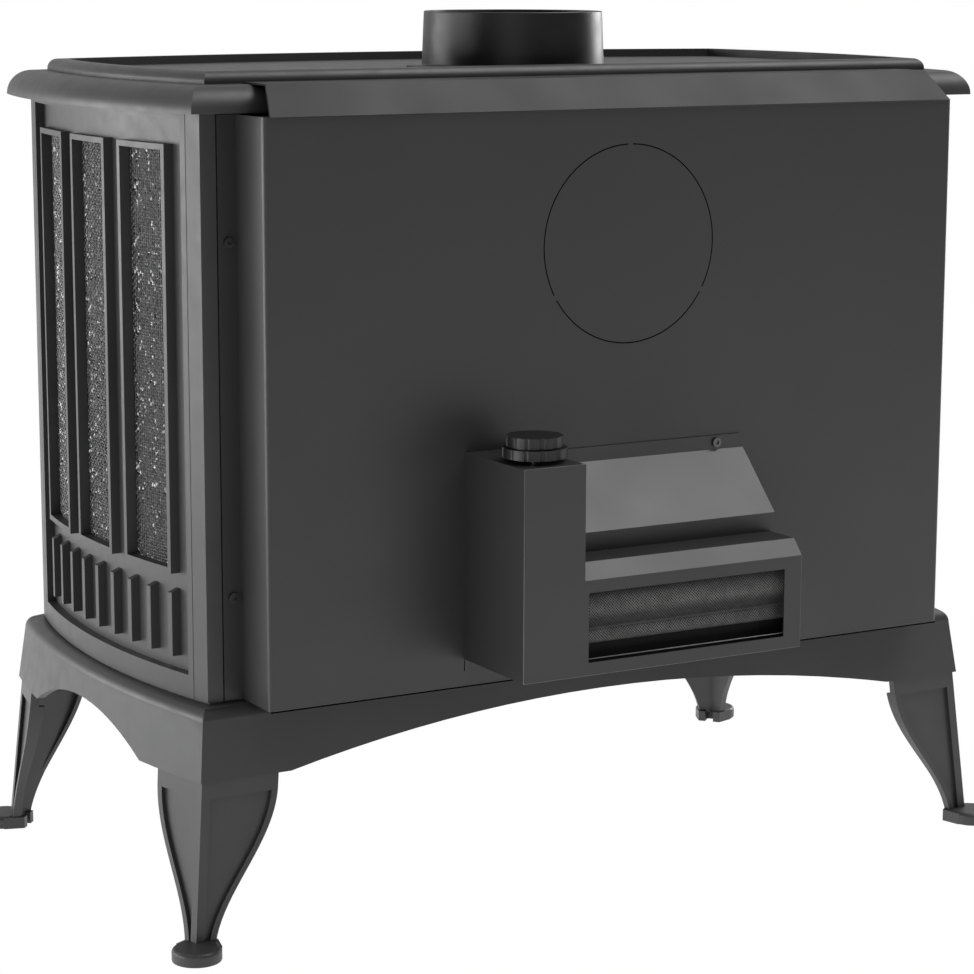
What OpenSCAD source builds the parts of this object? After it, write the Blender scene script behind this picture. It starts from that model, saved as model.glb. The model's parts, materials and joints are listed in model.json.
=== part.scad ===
// Cast iron wood stove on four legs, as its separate pieces.
// Millimetres. +Z up, floor at Z 0. The door faces -Y and the heat shield faces +Y.

/* [Body] */
// Width across the bowed sides
body_w = 820; // [780:5:860]
// Depth between the front and rear corner edges
body_d = 385; // [370:5:405]
// Height of the cast sides
body_h = 502; // [490:2:520]
// How far each side bows out
side_bow = 23.5; // [18:0.5:28]
// How far the front bows out
front_bow = 64; // [56:1:72]
// Thickness of the cast sides and front
cast_t = 14; // [13:0.5:16]

/* [Base] */
// Floor to the top face of the base
base_z = 211; // [200:1:225]
// Height of the base's skirt
skirt_h = 61.5; // [56:0.5:66]
// Wall of the base
skirt_t = 8; // [6:0.5:9]
// How far the base's lip stands out past the body's sides
lip_out = 13; // [10:0.5:18]
// How far the base's lip stands out past the body's rear edge
lip_rear = 17.5; // [14:0.5:22]
// Radius of the rounded lip
lip_r = 12; // [10:0.5:14]
// How far the skirt flares below the lip
skirt_flare = 7; // [4:0.5:9]
// Skirt left at each end of the front and rear arches, in from the body's sides
wide_arch_in = 90; // [80:1:105]
// Rise of the front and rear arches
wide_rise = 33.5; // [26:0.5:38]
// Skirt left at each end of the side arches, in from the body's edges
side_arch_in = 69.5; // [62:0.5:82]
// Rise of the side arches
side_rise = 30.5; // [24:0.5:36]

/* [Legs] */
// Width of a leg's end wall at the top
leg_w = 72; // [66:1:76]
// Width of a leg's end wall at the ankle
ankle_w = 18; // [16:1:22]
// Width of a leg's side wall, as a share of its end wall
leg_share = 0.88; // [0.82:0.01:1]
// Thickness of a leg's wall
leg_t = 8; // [6:0.5:9]
// Outward lean of a leg's side wall, in degrees
leg_lean = 6; // [3:0.2:7]
// Outward lean of a leg's end wall, in degrees
end_lean = 4.4; // [2:0.2:5.4]
// Depth of the panel sunk in a leg's wall
leg_sink = 3.6; // [2:0.2:4.5]
// Width across a foot
foot_w = 43; // [40:1:46]
// Height of a foot
foot_h = 12; // [10:1:15]

/* [Side windows] */
// Height and depth of the groove along a side's top and bottom edges
seam_cut = 1.2; // [0.8:0.2:2]
// Depth of the field sunk in a side
field_sink = 8.5; // [7:0.5:9.5]
// Border left round the field at the front and rear
field_edge = 26.5; // [22:0.5:32]
// Border left below the field
field_sill = 21; // [16:1:24]
// Border left above the field
field_head = 6; // [4:1:10]
// Width of a window's frame
window_w = 78; // [70:1:84]
// Distance between window centres
window_pitch = 103.5; // [98:0.5:106]
// Sill of the windows above the base
window_low = 106; // [100:1:112]
// Panel left between the windows' heads and the top of the side
window_head = 28; // [22:1:38]
// Wall of a window's raised frame
window_wall = 5; // [4:0.5:6]
// Depth of the screens behind the frames' faces
screen_deep = 9.5; // [9:0.5:11]
// Thickness of a screen
screen_t = 1.2; // [1:0.1:1.6]
// Number of ribs below the windows
rib_count = 9; // [7:1:9]
// Distance between ribs
rib_pitch = 34; // [30:0.5:35]
// Width of a rib
rib_w = 6.5; // [5:0.5:8]
// Foot of the ribs above the base
rib_low = 33; // [28:1:38]
// Top of the ribs above the base
rib_high = 89; // [82:1:94]

/* [Top] */
// How far the top's moulding stands out past the body
top_out = 21; // [17:0.5:25]
// Radius of the moulding
moulding_r = 22.5; // [20:0.5:25]
// How far the raised rim stands in from the body's sides
rim_in = 15; // [13:0.5:18]
// Height of the rim above the moulding
rim_h = 10.6; // [9:0.2:13]
// Width of the rim
rim_w = 18; // [15:0.5:22]
// Depth of the panel inside the rim
rim_sink = 7.6; // [6:0.2:8.6]
// Radius of the flue collar's bore
flue_r = 76.2; // [70:0.1:80]
// Outer radius of the collar at its foot
collar_low_r = 84.9; // [84.4:0.1:88]
// Outer radius of the collar at its top
collar_top_r = 82.8; // [81:0.1:84]
// Height of the collar above the sunk panel
collar_h = 52.6; // [44:0.2:60]
// Distance from the middle of the body back to the flue
flue_y = 41; // [30:1:46]

/* [Heat shield] */
// Width of the shield's side flanges
flange_w = 17; // [13:0.5:21]
// How far the shield stands off the body
pan_deep = 54.5; // [46:0.5:62]
// Sheet thickness
sheet_t = 1.5; // [1.2:0.1:2]
// Bend radius of the pan
bend_r = 4; // [3:0.5:6]
// Gap between the shield's bottom edge and the base
pan_foot = 1.2; // [0.8:0.2:4]
// Gap between the shield's top edge and the top casting
pan_gap = 2; // [1:0.5:8]
// Radius of the knock-out circle
knock_r = 87.5; // [70:0.5:95]
// Middle of the knock-out circle below the body's top
knock_head = 121; // [107:1:162]
// Width of the cut round the knock-out circle
knock_cut = 1; // [0.8:0.1:1.4]

/* [Air housing] */
// Depth of the housing off the shield
box_deep = 101.7; // [96:0.5:106]
// Foot of the housing above the base
box_low = 25; // [21:1:30]
// Height of the low box
box_h = 96.5; // [92:0.5:100]
// Height of the upright box
tower_h = 183.5; // [176:0.5:190]
// Width of the upright box
tower_w = 60; // [58:1:64]
// Left end of the low box
box_left = 119.5; // [114:0.5:124]
// Right end of the low box
box_right = 105.5; // [104:0.5:108]
// Height of the bevelled edge
bevel_h = 13.5; // [10:0.5:16]
// Half width of the intake window
window_x = 101.5; // [90:0.5:102]
// Height of the intake window
grille_h = 61; // [54:1:62]
// Height of the slanted hood's top flange above the base
hood_z = 203.3; // [199:0.5:208]
// How far the hood stands off the shield
hood_deep = 53.5; // [46:0.5:58]

/* [Controls] */
// Radius of the knob's lower disc
knob_low_r = 28; // [25:0.5:29]
// Radius of the knob's upper disc
knob_top_r = 24.3; // [21:0.1:24.5]
// Radius of the knob's spindle
spindle_r = 4; // [3.5:0.1:4.5]
// Tooth module of the timer gears
gear_m = 1.5; // [1.4:0.05:1.5]
// Running clearance of a shaft in its hole
run_gap = 0.06; // [0.03:0.01:0.09]

/* [Firebox] */
// Space below the firebox for the ash drawer
ash_space = 40; // [38:1:44]
// Space above the firebox
crown_space = 23; // [20:1:28]
// Space beside the firebox at the corners
side_space = 36.5; // [34:0.5:40]
// Plate thickness of the firebox
plate_t = 6; // [5:0.5:8]
// Thickness of the firebricks
brick_t = 28; // [25:0.5:30]
// Joint left between the bricks
brick_gap = 0.8; // [0.5:0.1:1.2]
// Wall bricks' top below the body's top, with room for the air manifolds and the baffle
brick_head = 133; // [126:1:142]

/* [Door] */
// Front casting left beside the door's opening, in from the body's sides
mouth_in = 108; // [104:1:115]
// Sill of the opening above the base
mouth_low = 79; // [74:1:84]
// Front casting left above the door's opening
mouth_head = 45; // [40:1:54]
// Lap of the door over the frame
door_lap = 16; // [14:0.5:18]
// Thickness of the door's casting
door_t = 14; // [13:0.5:16]
// Width of the door's stiles beside the glass
stile_w = 83; // [78:1:98]
// Sill of the glass opening above the base
view_low = 134; // [126:1:142]
// Crown of the glass opening below the head of the door's opening
view_head = 53; // [49:1:67]
// Rise of the arched crown
view_rise = 46; // [30:1:60]
// Thickness of the glass
glass_t = 5; // [4:0.5:5]
// Radius of the hinge pins
pin_r = 4; // [3:0.1:4.5]
// Height of the handle above the base
handle_up = 259; // [240:1:290]
// Length of the handle's grip
grip_len = 118; // [100:1:130]

/* [Hidden] */

iron = [0.17, 0.17, 0.18];
black = [0.1, 0.1, 0.1];
sheet = [0.25, 0.25, 0.26];
steel = [0.6, 0.6, 0.62];
brick = [0.86, 0.8, 0.66];
rope = [0.8, 0.78, 0.72];

round_fn = 48;
bow_fn = 480;
far = 3 * body_w;
seat = 0.3;
cut = 1;

// Bowed plan of the body
mid_x = body_w / 2;
edge_y = body_d / 2;
corner_x = mid_x - side_bow;
side_r = (pow(edge_y, 2) + pow(side_bow, 2)) / (2 * side_bow);
side_cx = mid_x - side_r;
front_r = (pow(corner_x, 2) + pow(front_bow, 2)) / (2 * front_bow);
front_cy = front_r - edge_y - front_bow;
body_top = base_z + body_h;

// Base and legs
skirt_z = base_z - skirt_h;
wide_arch = body_w - 2 * wide_arch_in;
side_arch = body_d - 2 * side_arch_in;
base_mid_x = mid_x + lip_out;
base_edge_y = edge_y + lip_rear;
base_side_r = bow_radius(base_edge_y, side_bow);
skirt_corner_y = base_edge_y + skirt_flare;
skirt_corner_x = base_mid_x - base_side_r
    + sqrt(pow(base_side_r + skirt_flare, 2) - pow(skirt_corner_y, 2));
base_front_r = bow_radius(base_mid_x - side_bow, front_bow + 5);
leg_inset = 3;
leg_run = (skirt_z - foot_h + 2) / cos(leg_lean);
leg_edge_band = 6;
leg_end_band = 8;
leg_side_band = 4.5;
leg_top_band = 15;
leg_return = 14;
leg_return_run = 0.72 * leg_run;
leg_past = 12;
leg_plate_w = 62;
leg_bolt_in = 30;
leg_bolt_r = 4;
leg_bolt_gap = 0.5;
leg_top_run = 10;
leg_swell = 1.04;
foot_back = 26;
leg_steps = 22;
foot_shift = [2.8, 7.3];

// Turn from a leg's end wall to its side wall, which follow the bowed base, and the places of the legs
rear_turn = 90 - asin(base_edge_y / base_side_r);
front_swing = asin((base_mid_x - side_bow) / base_front_r);
front_turn = rear_turn - front_swing;
function mitre(turn, o) = [o * tan(turn / 2), o];
function turned(a, p) = [p[0] * cos(a) - p[1] * sin(a), p[0] * sin(a) + p[1] * cos(a)];
base_corner = [base_mid_x - side_bow, base_edge_y];
rear_at = base_corner + mitre(rear_turn, skirt_flare - leg_inset);
front_at = base_corner + turned(-front_swing, mitre(front_turn, skirt_flare - leg_inset));
rear_bolt = rear_at - mitre(rear_turn, leg_bolt_in);
front_bolt = front_at - turned(-front_swing, mitre(front_turn, leg_bolt_in));
leg_bolts_at = [rear_bolt, [front_bolt[0], -front_bolt[1]]];
nut_r = 7.5;
nut_h = 6.5;
tie_x = corner_x - cast_t - 18;
tie_y = edge_y - 32;
tie_r = 4;

// Top
top_ledge = body_top + moulding_r;
rim_top = top_ledge + rim_h;
panel_z = rim_top - rim_sink;
top_under = panel_z - 9;
spigot_h = 9;
collar_top = panel_z + collar_h;

// Heat shield
back_t = 5;
back_y = edge_y - 1.1;
shield_y = edge_y + pan_deep;
shield_low = base_z + pan_foot;
shield_high = body_top - pan_gap;
knock_z = body_top - knock_head;
flange_x = corner_x - 15.5;
pan_x = flange_x - flange_w;
screw_x = flange_x - 9;
screw_heights = [91, body_h - 108];
visor_low = [shield_y + 3, body_top - 2];
visor_high = [shield_y - 24, top_ledge + sheet_t];
visor_half = [pan_x - 5, pan_x - 14];
port_x = 53.5;
port_low = base_z + 46.5;
port_high = base_z + 87.5;

// Air housing
box_y = shield_y + box_deep;
box_z = base_z + box_low;
box_top = box_z + box_h;
tower_x = box_right + tower_w;
tower_top = box_z + tower_h;
grille_z = box_z + 11;
hood_top = base_z + hood_z;
hood_x0 = -box_left - 4;
hood_x1 = box_right - seat;
hood_flange = 12.8;
hood_lip = 17;
hood_screw_xs = [-94, 94];
knob_x = box_right + tower_w / 2 - 0.5;
knob_y = shield_y + 66;
knob_z = tower_top + 4;
pinion_n = 12;
wheel_n = 24;
gear_gap = gear_m * (pinion_n + wheel_n) / 2;
wheel_y = knob_y - gear_gap;
plate_z = tower_top - 118;
gear_z = plate_z + 12;
gear_h = 6;
shutter_r = gear_gap - spindle_r - 0.8;
pivot_deep = 8;

// Firebox
fire_x = corner_x - cast_t - side_space;
fire_back = back_y - back_t;
fire_low = base_z + ash_space;
fire_high = body_top - crown_space;
floor_z = fire_low + plate_t;
brick_x = fire_x - plate_t - brick_gap / 2;
brick_front = 12.5 - edge_y;
brick_back = fire_back - plate_t - brick_gap / 2;
floor_bricks_back = brick_back - brick_t - brick_gap;
brick_cols = 6;
brick_rows = 3;
brick_pitch_x = 2 * brick_x / brick_cols;
brick_pitch_y = (floor_bricks_back - brick_front) / brick_rows;
chute_x = brick_pitch_x - 12;
chute_y0 = brick_front + brick_pitch_y + 8;
chute_y1 = brick_front + 2 * brick_pitch_y - 8;
wall_brick_z = floor_z + brick_t + brick_gap;
wall_top_z = body_top - brick_head;
manifold_h = 30;
tube_r = 11;
tube_count = 4;
tube_pitch = 80;

// Front and door
mouth_x = mid_x - mouth_in;
mouth_z0 = base_z + mouth_low;
mouth_z1 = body_top - mouth_head;
door_x = mouth_x + door_lap;
view_w = 2 * (door_x - stile_w);
door_off = 3;
rebate = 12;
glass_back = 4.5;
glass_gasket_t = 1.5;
gasket_in = 4;
gasket_edge = 3;
gasket_w = 10;
door_face = door_off + door_t;
door_z0 = mouth_z0 - door_lap + 7;
door_z1 = mouth_z1 + door_lap - 7;
view_z0 = base_z + view_low;
view_z1 = mouth_z1 - view_head;
clip_side_x = view_w / 2 + rebate + 7;
clip_side_zs = [view_z0 + 40, view_z1 - view_rise - 40];
clip_low_x = 120;
clip_low_z = view_z0 - rebate - 7;
clip_spots = [
    for (x = [-clip_side_x, clip_side_x], z = clip_side_zs) [x, z],
    for (x = [-clip_low_x, clip_low_x]) [x, clip_low_z]
];
hinge_x = -(door_x + 16);
hinge_r = 9;
hinge_y = front_y(hinge_x, 0) - hinge_r - 6;
hinge_heights = [mouth_low + 73, body_h - 120];
knuckle_h = 24;
pin_deep = 15;
handle_x = mouth_x - 19;
handle_z = base_z + handle_up;
shaft_r = 6;
handle_y = front_y(handle_x, door_face) - 24;
cam_y = -edge_y + 0.7;
cam_t = 8;
cam_len = 38;
lip_z = mouth_z0 - 28;
lip_t = 9;
lip_deep = 58;
lip_x = mouth_x - 2;
lever_x = fire_x - 96;
lever_box_x = 56;
drawer_x = lever_x - lever_box_x - 36;
lip_bracket_xs = [drawer_x + 22, lip_x - 30];
drawer_z0 = base_z + 2.3;
drawer_z1 = fire_low - 4;
drawer_back = 110;
drawer_front_y = front_y(drawer_x, 0) + 1;
knob_stem_z = base_z + 25;
lever_z = base_z + 21;
lever_travel = 25;
lever_box_y = -150;
lever_tip = front_y(lever_x, 0) - 22;
slot_xs = [-24, 8];
slot_w = 16;
slot_in = 9;

// The stove's overall depth is centred on the origin
front_reach = edge_y + front_bow + lip_deep;
shift_y = (front_reach - box_y) / 2;

function bow_radius(half, rise) = (pow(half, 2) + pow(rise, 2)) / (2 * rise);
function front_y(x, o) = front_cy - sqrt(pow(front_r + o, 2) - pow(x, 2));
function visor_x(z) = visor_half[1]
    + (visor_half[0] - visor_half[1]) * (visor_high[1] - z) / (visor_high[1] - visor_low[1]);
function tube_y(i) = brick_front + tube_pitch * (i + 0.5);

module place() {
    translate([0, shift_y, 0]) children();
}

module both_sides() {
    children();
    mirror([1, 0, 0]) children();
}

// A vertical extrusion between two heights
module raise(z0, z1) {
    translate([0, 0, z0]) linear_extrude(height = z1 - z0) children();
}

module block(x0, x1, y0, y1, z0, z1) {
    translate([x0, y0, z0]) cube([x1 - x0, y1 - y0, z1 - z0]);
}

module rod_y(r, y0, y1) {
    translate([0, y1, 0]) rotate([90, 0, 0]) cylinder(r = r, h = y1 - y0, $fn = round_fn);
}

module rod_x(r, x0, x1) {
    translate([x0, 0, 0]) rotate([0, 90, 0]) cylinder(r = r, h = x1 - x0, $fn = round_fn);
}

// Plan strips that follow the bowed side and the bowed front
module side_arc(o0, o1, y0, y1) {
    intersection() {
        difference() {
            translate([side_cx, 0]) circle(r = side_r + o1, $fn = bow_fn);
            translate([side_cx, 0]) circle(r = side_r + o0, $fn = bow_fn);
        }
        translate([0, y0]) square([body_w, y1 - y0]);
    }
}

module front_arc(o0, o1, x0, x1) {
    intersection() {
        difference() {
            translate([0, front_cy]) circle(r = front_r + o1, $fn = bow_fn);
            translate([0, front_cy]) circle(r = front_r + o0, $fn = bow_fn);
        }
        translate([x0, -body_w]) square([x1 - x0, body_w]);
    }
}

// The region between the bowed front and a straight line across the body
module front_lens(o, line_y, x0, x1) {
    intersection() {
        translate([0, front_cy]) circle(r = front_r + o, $fn = bow_fn);
        translate([x0, line_y - body_w]) square([x1 - x0, body_w]);
    }
}

// A full turn of an outline drawn outwards from a circle of radius r
module spun(r) {
    rotate_extrude($fn = bow_fn) intersection() {
        translate([r, 0]) children();
        translate([0, -far]) square([3 * far, 3 * far]);
    }
}

// Two bowed sides, a bowed front and a straight rear that share one outline and meet in mitres
module bowed(half_x, bow, half_y, apex) {
    sr = bow_radius(half_y, bow);
    fr = bow_radius(half_x - bow, apex);
    intersection() {
        translate([half_x - sr, 0, 0]) spun(sr) children();
        translate([sr - half_x, 0, 0]) spun(sr) children();
        translate([0, fr - half_y - apex, 0]) spun(fr) children();
        rotate([90, 0, 90]) linear_extrude(height = 3 * body_w, center = true)
            translate([half_y, 0]) children();
    }
}

// Base skirt: outline of offset and height, inset by g
module skirt_outline(g, low) {
    translate([-far, low]) square([far - lip_r, base_z - g - low]);
    polygon([[-far, low], [skirt_flare - g, low], [skirt_flare - g, skirt_z],
        [-g, base_z - lip_r], [-far, base_z - lip_r]]);
    translate([-lip_r, base_z - lip_r]) circle(r = lip_r - g, $fn = round_fn);
}

module skirt_solid(g, low) {
    bowed(base_mid_x, side_bow, base_edge_y, front_bow + 5) skirt_outline(g, low);
}

module arch_cut(w, rise) {
    r = bow_radius(w / 2, rise);
    translate([0, 0, skirt_z + rise - r]) rotate([90, 0, 0])
        cylinder(r = r, h = 3 * body_w, center = true, $fn = 2 * bow_fn);
}

module corner_copies() {
    both_sides() {
        children();
        mirror([0, 1, 0]) children();
    }
}

module base_skirt() {
    pad = 80;
    color(iron) place() difference() {
        skirt_solid(0, skirt_z);
        difference() {
            skirt_solid(skirt_t, skirt_z - cut);
            corner_copies()
                block(skirt_corner_x - pad, body_w, skirt_corner_y - pad, body_w,
                    skirt_z, skirt_z + skirt_t);
        }
        arch_cut(wide_arch, wide_rise);
        rotate([0, 0, 90]) arch_cut(side_arch, side_rise);
        corner_copies() translate([tie_x, tie_y, skirt_z])
            cylinder(r = tie_r + leg_bolt_gap, h = skirt_h + cut, $fn = round_fn);
        both_sides() for (p = leg_bolts_at) translate([p[0], p[1], skirt_z - cut])
            cylinder(r = leg_bolt_r + leg_bolt_gap, h = skirt_t + 2 * cut, $fn = round_fn);
    }
}

// Width of a leg's end wall at v below its top, along the lean
function leg_s(v) = max(0, min(1, (v - leg_top_run) / (leg_run - leg_top_run + 8)));
function leg_width(v) = ankle_w + (leg_w - ankle_w) * 0.5 * (1 + cos(180 * pow(leg_s(v), leg_swell)));

// Place of a wall's curved edge; slip is how far the ridge runs along the wall for each unit down it
function leg_edge(v, slip, share) = slip * v - share * leg_width(v);

// Outline of a leg's wall between two heights, held back from the ridge and from the curved edge
function leg_wall(v0, v1, slip, share, in_ridge, in_edge) = concat(
    [[slip * v1 - in_ridge, -v1], [slip * v0 - in_ridge, -v0]],
    [for (i = [0:leg_steps]) let (v = v0 + (v1 - v0) * i / leg_steps)
        [leg_edge(v, slip, share) + in_edge, -v]]);

// The band that turns inward along the curved edge
function leg_band(v0, v1, slip, share) = concat(
    [for (i = [0:leg_steps]) let (v = v0 + (v1 - v0) * i / leg_steps)
        [leg_edge(v, slip, share), -v]],
    [for (i = [leg_steps:-1:0]) let (v = v0 + (v1 - v0) * i / leg_steps)
        [leg_edge(v, slip, share) + leg_edge_band, -v]]);

// One wall of a leg, running towards -X from its ridge and a little past it, and facing +Y
module leg_side(lean, slip, share, ridge_band) {
    rotate([lean, 0, 0]) rotate([90, 0, 0]) difference() {
        union() {
            linear_extrude(height = leg_t) polygon(leg_wall(0, leg_run, slip, share, -leg_past, 0));
            intersection() {
                linear_extrude(height = leg_return)
                    polygon(leg_band(leg_top_band, leg_return_run, slip, share));
                rotate([90, 0, 90]) linear_extrude(height = 4 * leg_w, center = true)
                    polygon([[0, 0], [0, leg_return], [-leg_top_band, leg_return],
                        [-leg_return_run, leg_t], [-leg_return_run, 0]]);
            }
        }
        translate([0, 0, -cut]) linear_extrude(height = cut + leg_sink)
            polygon(leg_wall(leg_top_band, leg_run + cut, slip, share, ridge_band, leg_edge_band));
    }
}

// All that lies in front of a wall's face, to mitre the other wall against it
module leg_front(lean) {
    rotate([lean, 0, 0]) block(-leg_w, leg_w, 0, leg_w, -2 * leg_run, leg_w);
}

// Plan of a foot: round in front and tapered behind to two prongs
module foot_plan() {
    h = foot_w / 2 + 1;
    prong_x = 12;
    polygon([[-h, h], [-h, -3], [-prong_x, -foot_back], [prong_x, -foot_back], [h, -3], [h, h]]);
}

// Half section of a foot: a soft top edge and a smaller soft bottom edge
module foot_section(r) {
    soft = 4;
    low = 1.5;
    square([r - soft, foot_h]);
    translate([0, low]) square([r, foot_h - low - soft]);
    square([r - low, foot_h - soft]);
    translate([r - soft, foot_h - soft]) circle(r = soft, $fn = round_fn);
    translate([r - low, low]) circle(r = low, $fn = round_fn);
}

module foot() {
    slot_half = 4.5;
    slot_end = 14;
    prong_top = foot_h - 1;
    difference() {
        union() {
            intersection() {
                rotate_extrude($fn = 2 * round_fn) foot_section(foot_w / 2);
                linear_extrude(height = foot_h) foot_plan();
            }
            linear_extrude(height = prong_top) intersection() {
                foot_plan();
                translate([-foot_w, -foot_w]) square([2 * foot_w, foot_w - 8]);
            }
        }
        translate([-slot_half, -foot_w, -cut]) cube([2 * slot_half, foot_w - slot_end, foot_h + 2 * cut]);
    }
}

// A leg at its own corner; turn is the angle between the directions that its two walls face
module leg(turn) {
    drop = skirt_z - foot_h;
    end_slip = (tan(leg_lean) - tan(end_lean) * cos(turn)) / sin(turn);
    side_slip = tan(end_lean) * sin(turn) - end_slip * cos(turn);
    plate = mitre(turn, -2);
    bolt = mitre(turn, -leg_bolt_in);
    along = [cos(turn), -sin(turn)] * leg_plate_w;
    difference() {
        union() {
            difference() {
                leg_side(end_lean, end_slip * cos(end_lean), 1, leg_end_band);
                mirror([cos(turn / 2), -sin(turn / 2), 0]) leg_front(leg_lean);
            }
            difference() {
                mirror([cos(turn / 2), -sin(turn / 2), 0])
                    leg_side(leg_lean, side_slip * cos(leg_lean), leg_share, leg_side_band);
                leg_front(end_lean);
            }
            translate([plate[0], plate[1], -skirt_t]) linear_extrude(height = skirt_t)
                polygon([[0, 0], [-leg_plate_w, 0], [along[0] - leg_plate_w, along[1]], along]);
        }
        translate([bolt[0], bolt[1], -skirt_t - cut])
            cylinder(r = leg_bolt_r + leg_bolt_gap, h = skirt_t + 2 * cut, $fn = round_fn);
    }
    translate([end_slip * drop + foot_shift[0], tan(end_lean) * drop + foot_shift[1], -skirt_z])
        rotate([0, 0, -turn / 2]) foot();
}

module leg_rear_right() {
    color(iron) place() translate([rear_at[0], rear_at[1], skirt_z]) leg(rear_turn);
}

module leg_rear_left() {
    mirror([1, 0, 0]) leg_rear_right();
}

module leg_front_right() {
    color(iron) place() mirror([0, 1, 0]) translate([front_at[0], front_at[1], skirt_z])
        rotate([0, 0, -front_swing]) leg(front_turn);
}

module leg_front_left() {
    mirror([1, 0, 0]) leg_front_right();
}

module hex_bolt(r, head_r, head_h, len) {
    cylinder(r = r, h = len, $fn = round_fn);
    translate([0, 0, -head_h]) cylinder(r = head_r, h = head_h, $fn = 6);
}

module leg_bolts() {
    color(steel) place() both_sides() for (p = leg_bolts_at) translate([p[0], p[1], 0]) {
        translate([0, 0, skirt_z - skirt_t]) hex_bolt(leg_bolt_r, nut_r, 5.3, 2 * skirt_t + nut_h + 4);
        translate([0, 0, skirt_z + skirt_t]) difference() {
            cylinder(r = nut_r, h = nut_h, $fn = 6);
            translate([0, 0, -cut]) cylinder(r = leg_bolt_r + run_gap, h = nut_h + 2 * cut, $fn = round_fn);
        }
    }
}

module tie_rods() {
    color(steel) place() corner_copies() translate([tie_x, tie_y, base_z - skirt_t - nut_h]) {
        cylinder(r = nut_r, h = nut_h, $fn = 6);
        cylinder(r = tie_r, h = nut_h + skirt_t + body_h + 10, $fn = round_fn);
    }
}

// A side casting with its sunk field, window frames and ribs
module side_panel() {
    field_y = edge_y - field_edge;
    field_z0 = base_z + field_sill;
    field_z1 = body_top - field_head;
    win_z0 = base_z + window_low;
    win_z1 = body_top - window_head;
    rib_z0 = base_z + rib_low;
    rib_z1 = base_z + rib_high;
    rib_back = 0.5;
    rib_slope = 3.5;
    seam_y = edge_y - 19;
    hole = window_w / 2 - window_wall;
    color(iron) place() difference() {
        union() {
            difference() {
                raise(base_z, body_top) side_arc(-cast_t, 0, -edge_y, edge_y);
                raise(field_z0, field_z1) side_arc(-field_sink, cut, -field_y, field_y);
                for (z = [base_z - cut, body_top - seam_cut])
                    raise(z, z + cut + seam_cut) side_arc(-seam_cut, cut, -edge_y - cut, edge_y + cut);
                for (s = [-1, 1])
                    raise(base_z - cut, body_top + cut)
                        side_arc(-0.6, cut, s * seam_y - 0.4, s * seam_y + 0.4);
            }
            for (i = [-1:1])
                raise(win_z0, win_z1)
                    side_arc(-field_sink - cut, 0, i * window_pitch - window_w / 2,
                        i * window_pitch + window_w / 2);
            for (i = [0:rib_count - 1]) {
                y = (i - (rib_count - 1) / 2) * rib_pitch + 3;
                face_x = side_cx + sqrt(pow(side_r - rib_back, 2) - pow(y, 2));
                difference() {
                    raise(rib_z0, rib_z1 + rib_slope)
                        side_arc(-field_sink - cut, -rib_back, y - rib_w / 2, y + rib_w / 2);
                    translate([face_x, y, rib_z1]) rotate([0, atan(rib_slope / field_sink), 0])
                        block(-3 * field_sink, field_sink, -rib_w, rib_w, 0, 3 * rib_slope);
                }
            }
        }
        for (i = [-1:1]) {
            y = i * window_pitch;
            raise(win_z0 + window_wall, win_z1 - window_wall) side_arc(-cast_t - cut, cut, y - hole, y + hole);
            raise(win_z0 + 1, win_z1 - 1)
                side_arc(-cast_t - cut, -screen_deep, y - window_w / 2 + 1, y + window_w / 2 - 1);
        }
    }
}

module side_panel_right() {
    side_panel();
}

module side_panel_left() {
    mirror([1, 0, 0]) side_panel();
}

// Woven screens, one in the rebate behind each window frame
module side_screens() {
    fit = 1 + seat;
    color(steel) place() for (i = [-1:1])
        raise(base_z + window_low + fit, body_top - window_head - fit)
            side_arc(-screen_deep - screen_t, -screen_deep, i * window_pitch - window_w / 2 + fit,
                i * window_pitch + window_w / 2 - fit);
}

module side_screens_right() {
    side_screens();
}

module side_screens_left() {
    mirror([1, 0, 0]) side_screens();
}

// Front casting with the door's opening, the drawer's slot and the hinge lugs
module front_frame() {
    rail_t = 12;
    web = 10;
    lug_h = 18;
    channel_x = 361;
    channel_w = 22;
    lever_gap = 6;
    color(iron) place() {
        difference() {
            raise(base_z, body_top) front_lens(0, -edge_y, -corner_x, corner_x);
            block(-mouth_x, mouth_x, -body_w, 0, mouth_z0, mouth_z1);
            raise(base_z + web, mouth_z0 - web) front_lens(-rail_t, -edge_y + cut, -mouth_x, mouth_x);
            raise(mouth_z1 + web, body_top - web) front_lens(-rail_t, -edge_y + cut, -mouth_x, mouth_x);
            block(-drawer_x - 3, drawer_x + 3, -body_w, 0, base_z - cut, fire_low - 1);
            block(lever_x - lever_travel - lever_gap, lever_x + lever_travel + lever_gap, -body_w, 0,
                lever_z - lever_gap, lever_z + lever_gap);
            both_sides() raise(mouth_z0 - 40, mouth_z1 + 20)
                front_arc(-2, cut, channel_x - channel_w / 2, channel_x + channel_w / 2);
        }
        for (h = hinge_heights) {
            translate([hinge_x, hinge_y, base_z + h - lug_h]) difference() {
                union() {
                    cylinder(r = hinge_r, h = lug_h, $fn = round_fn);
                    block(-6, 6, 0, front_y(hinge_x, 0) - hinge_y + 2, 0, lug_h);
                }
                translate([0, 0, lug_h - pin_deep]) cylinder(r = pin_r + run_gap, h = lug_h, $fn = round_fn);
            }
        }
    }
}

module ash_lip() {
    bead = 4;
    color(iron) place() {
        raise(lip_z, lip_z + lip_t) front_arc(0, lip_deep, -lip_x, lip_x);
        raise(lip_z + lip_t - cut, lip_z + lip_t + bead) front_arc(lip_deep - 7, lip_deep, -lip_x, lip_x);
        for (x = [-lip_bracket_xs[1], -lip_bracket_xs[0], lip_bracket_xs[0], lip_bracket_xs[1]])
            raise(lip_z - 14, lip_z + cut) front_arc(0, 30, x - 4, x + 4);
    }
}

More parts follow.
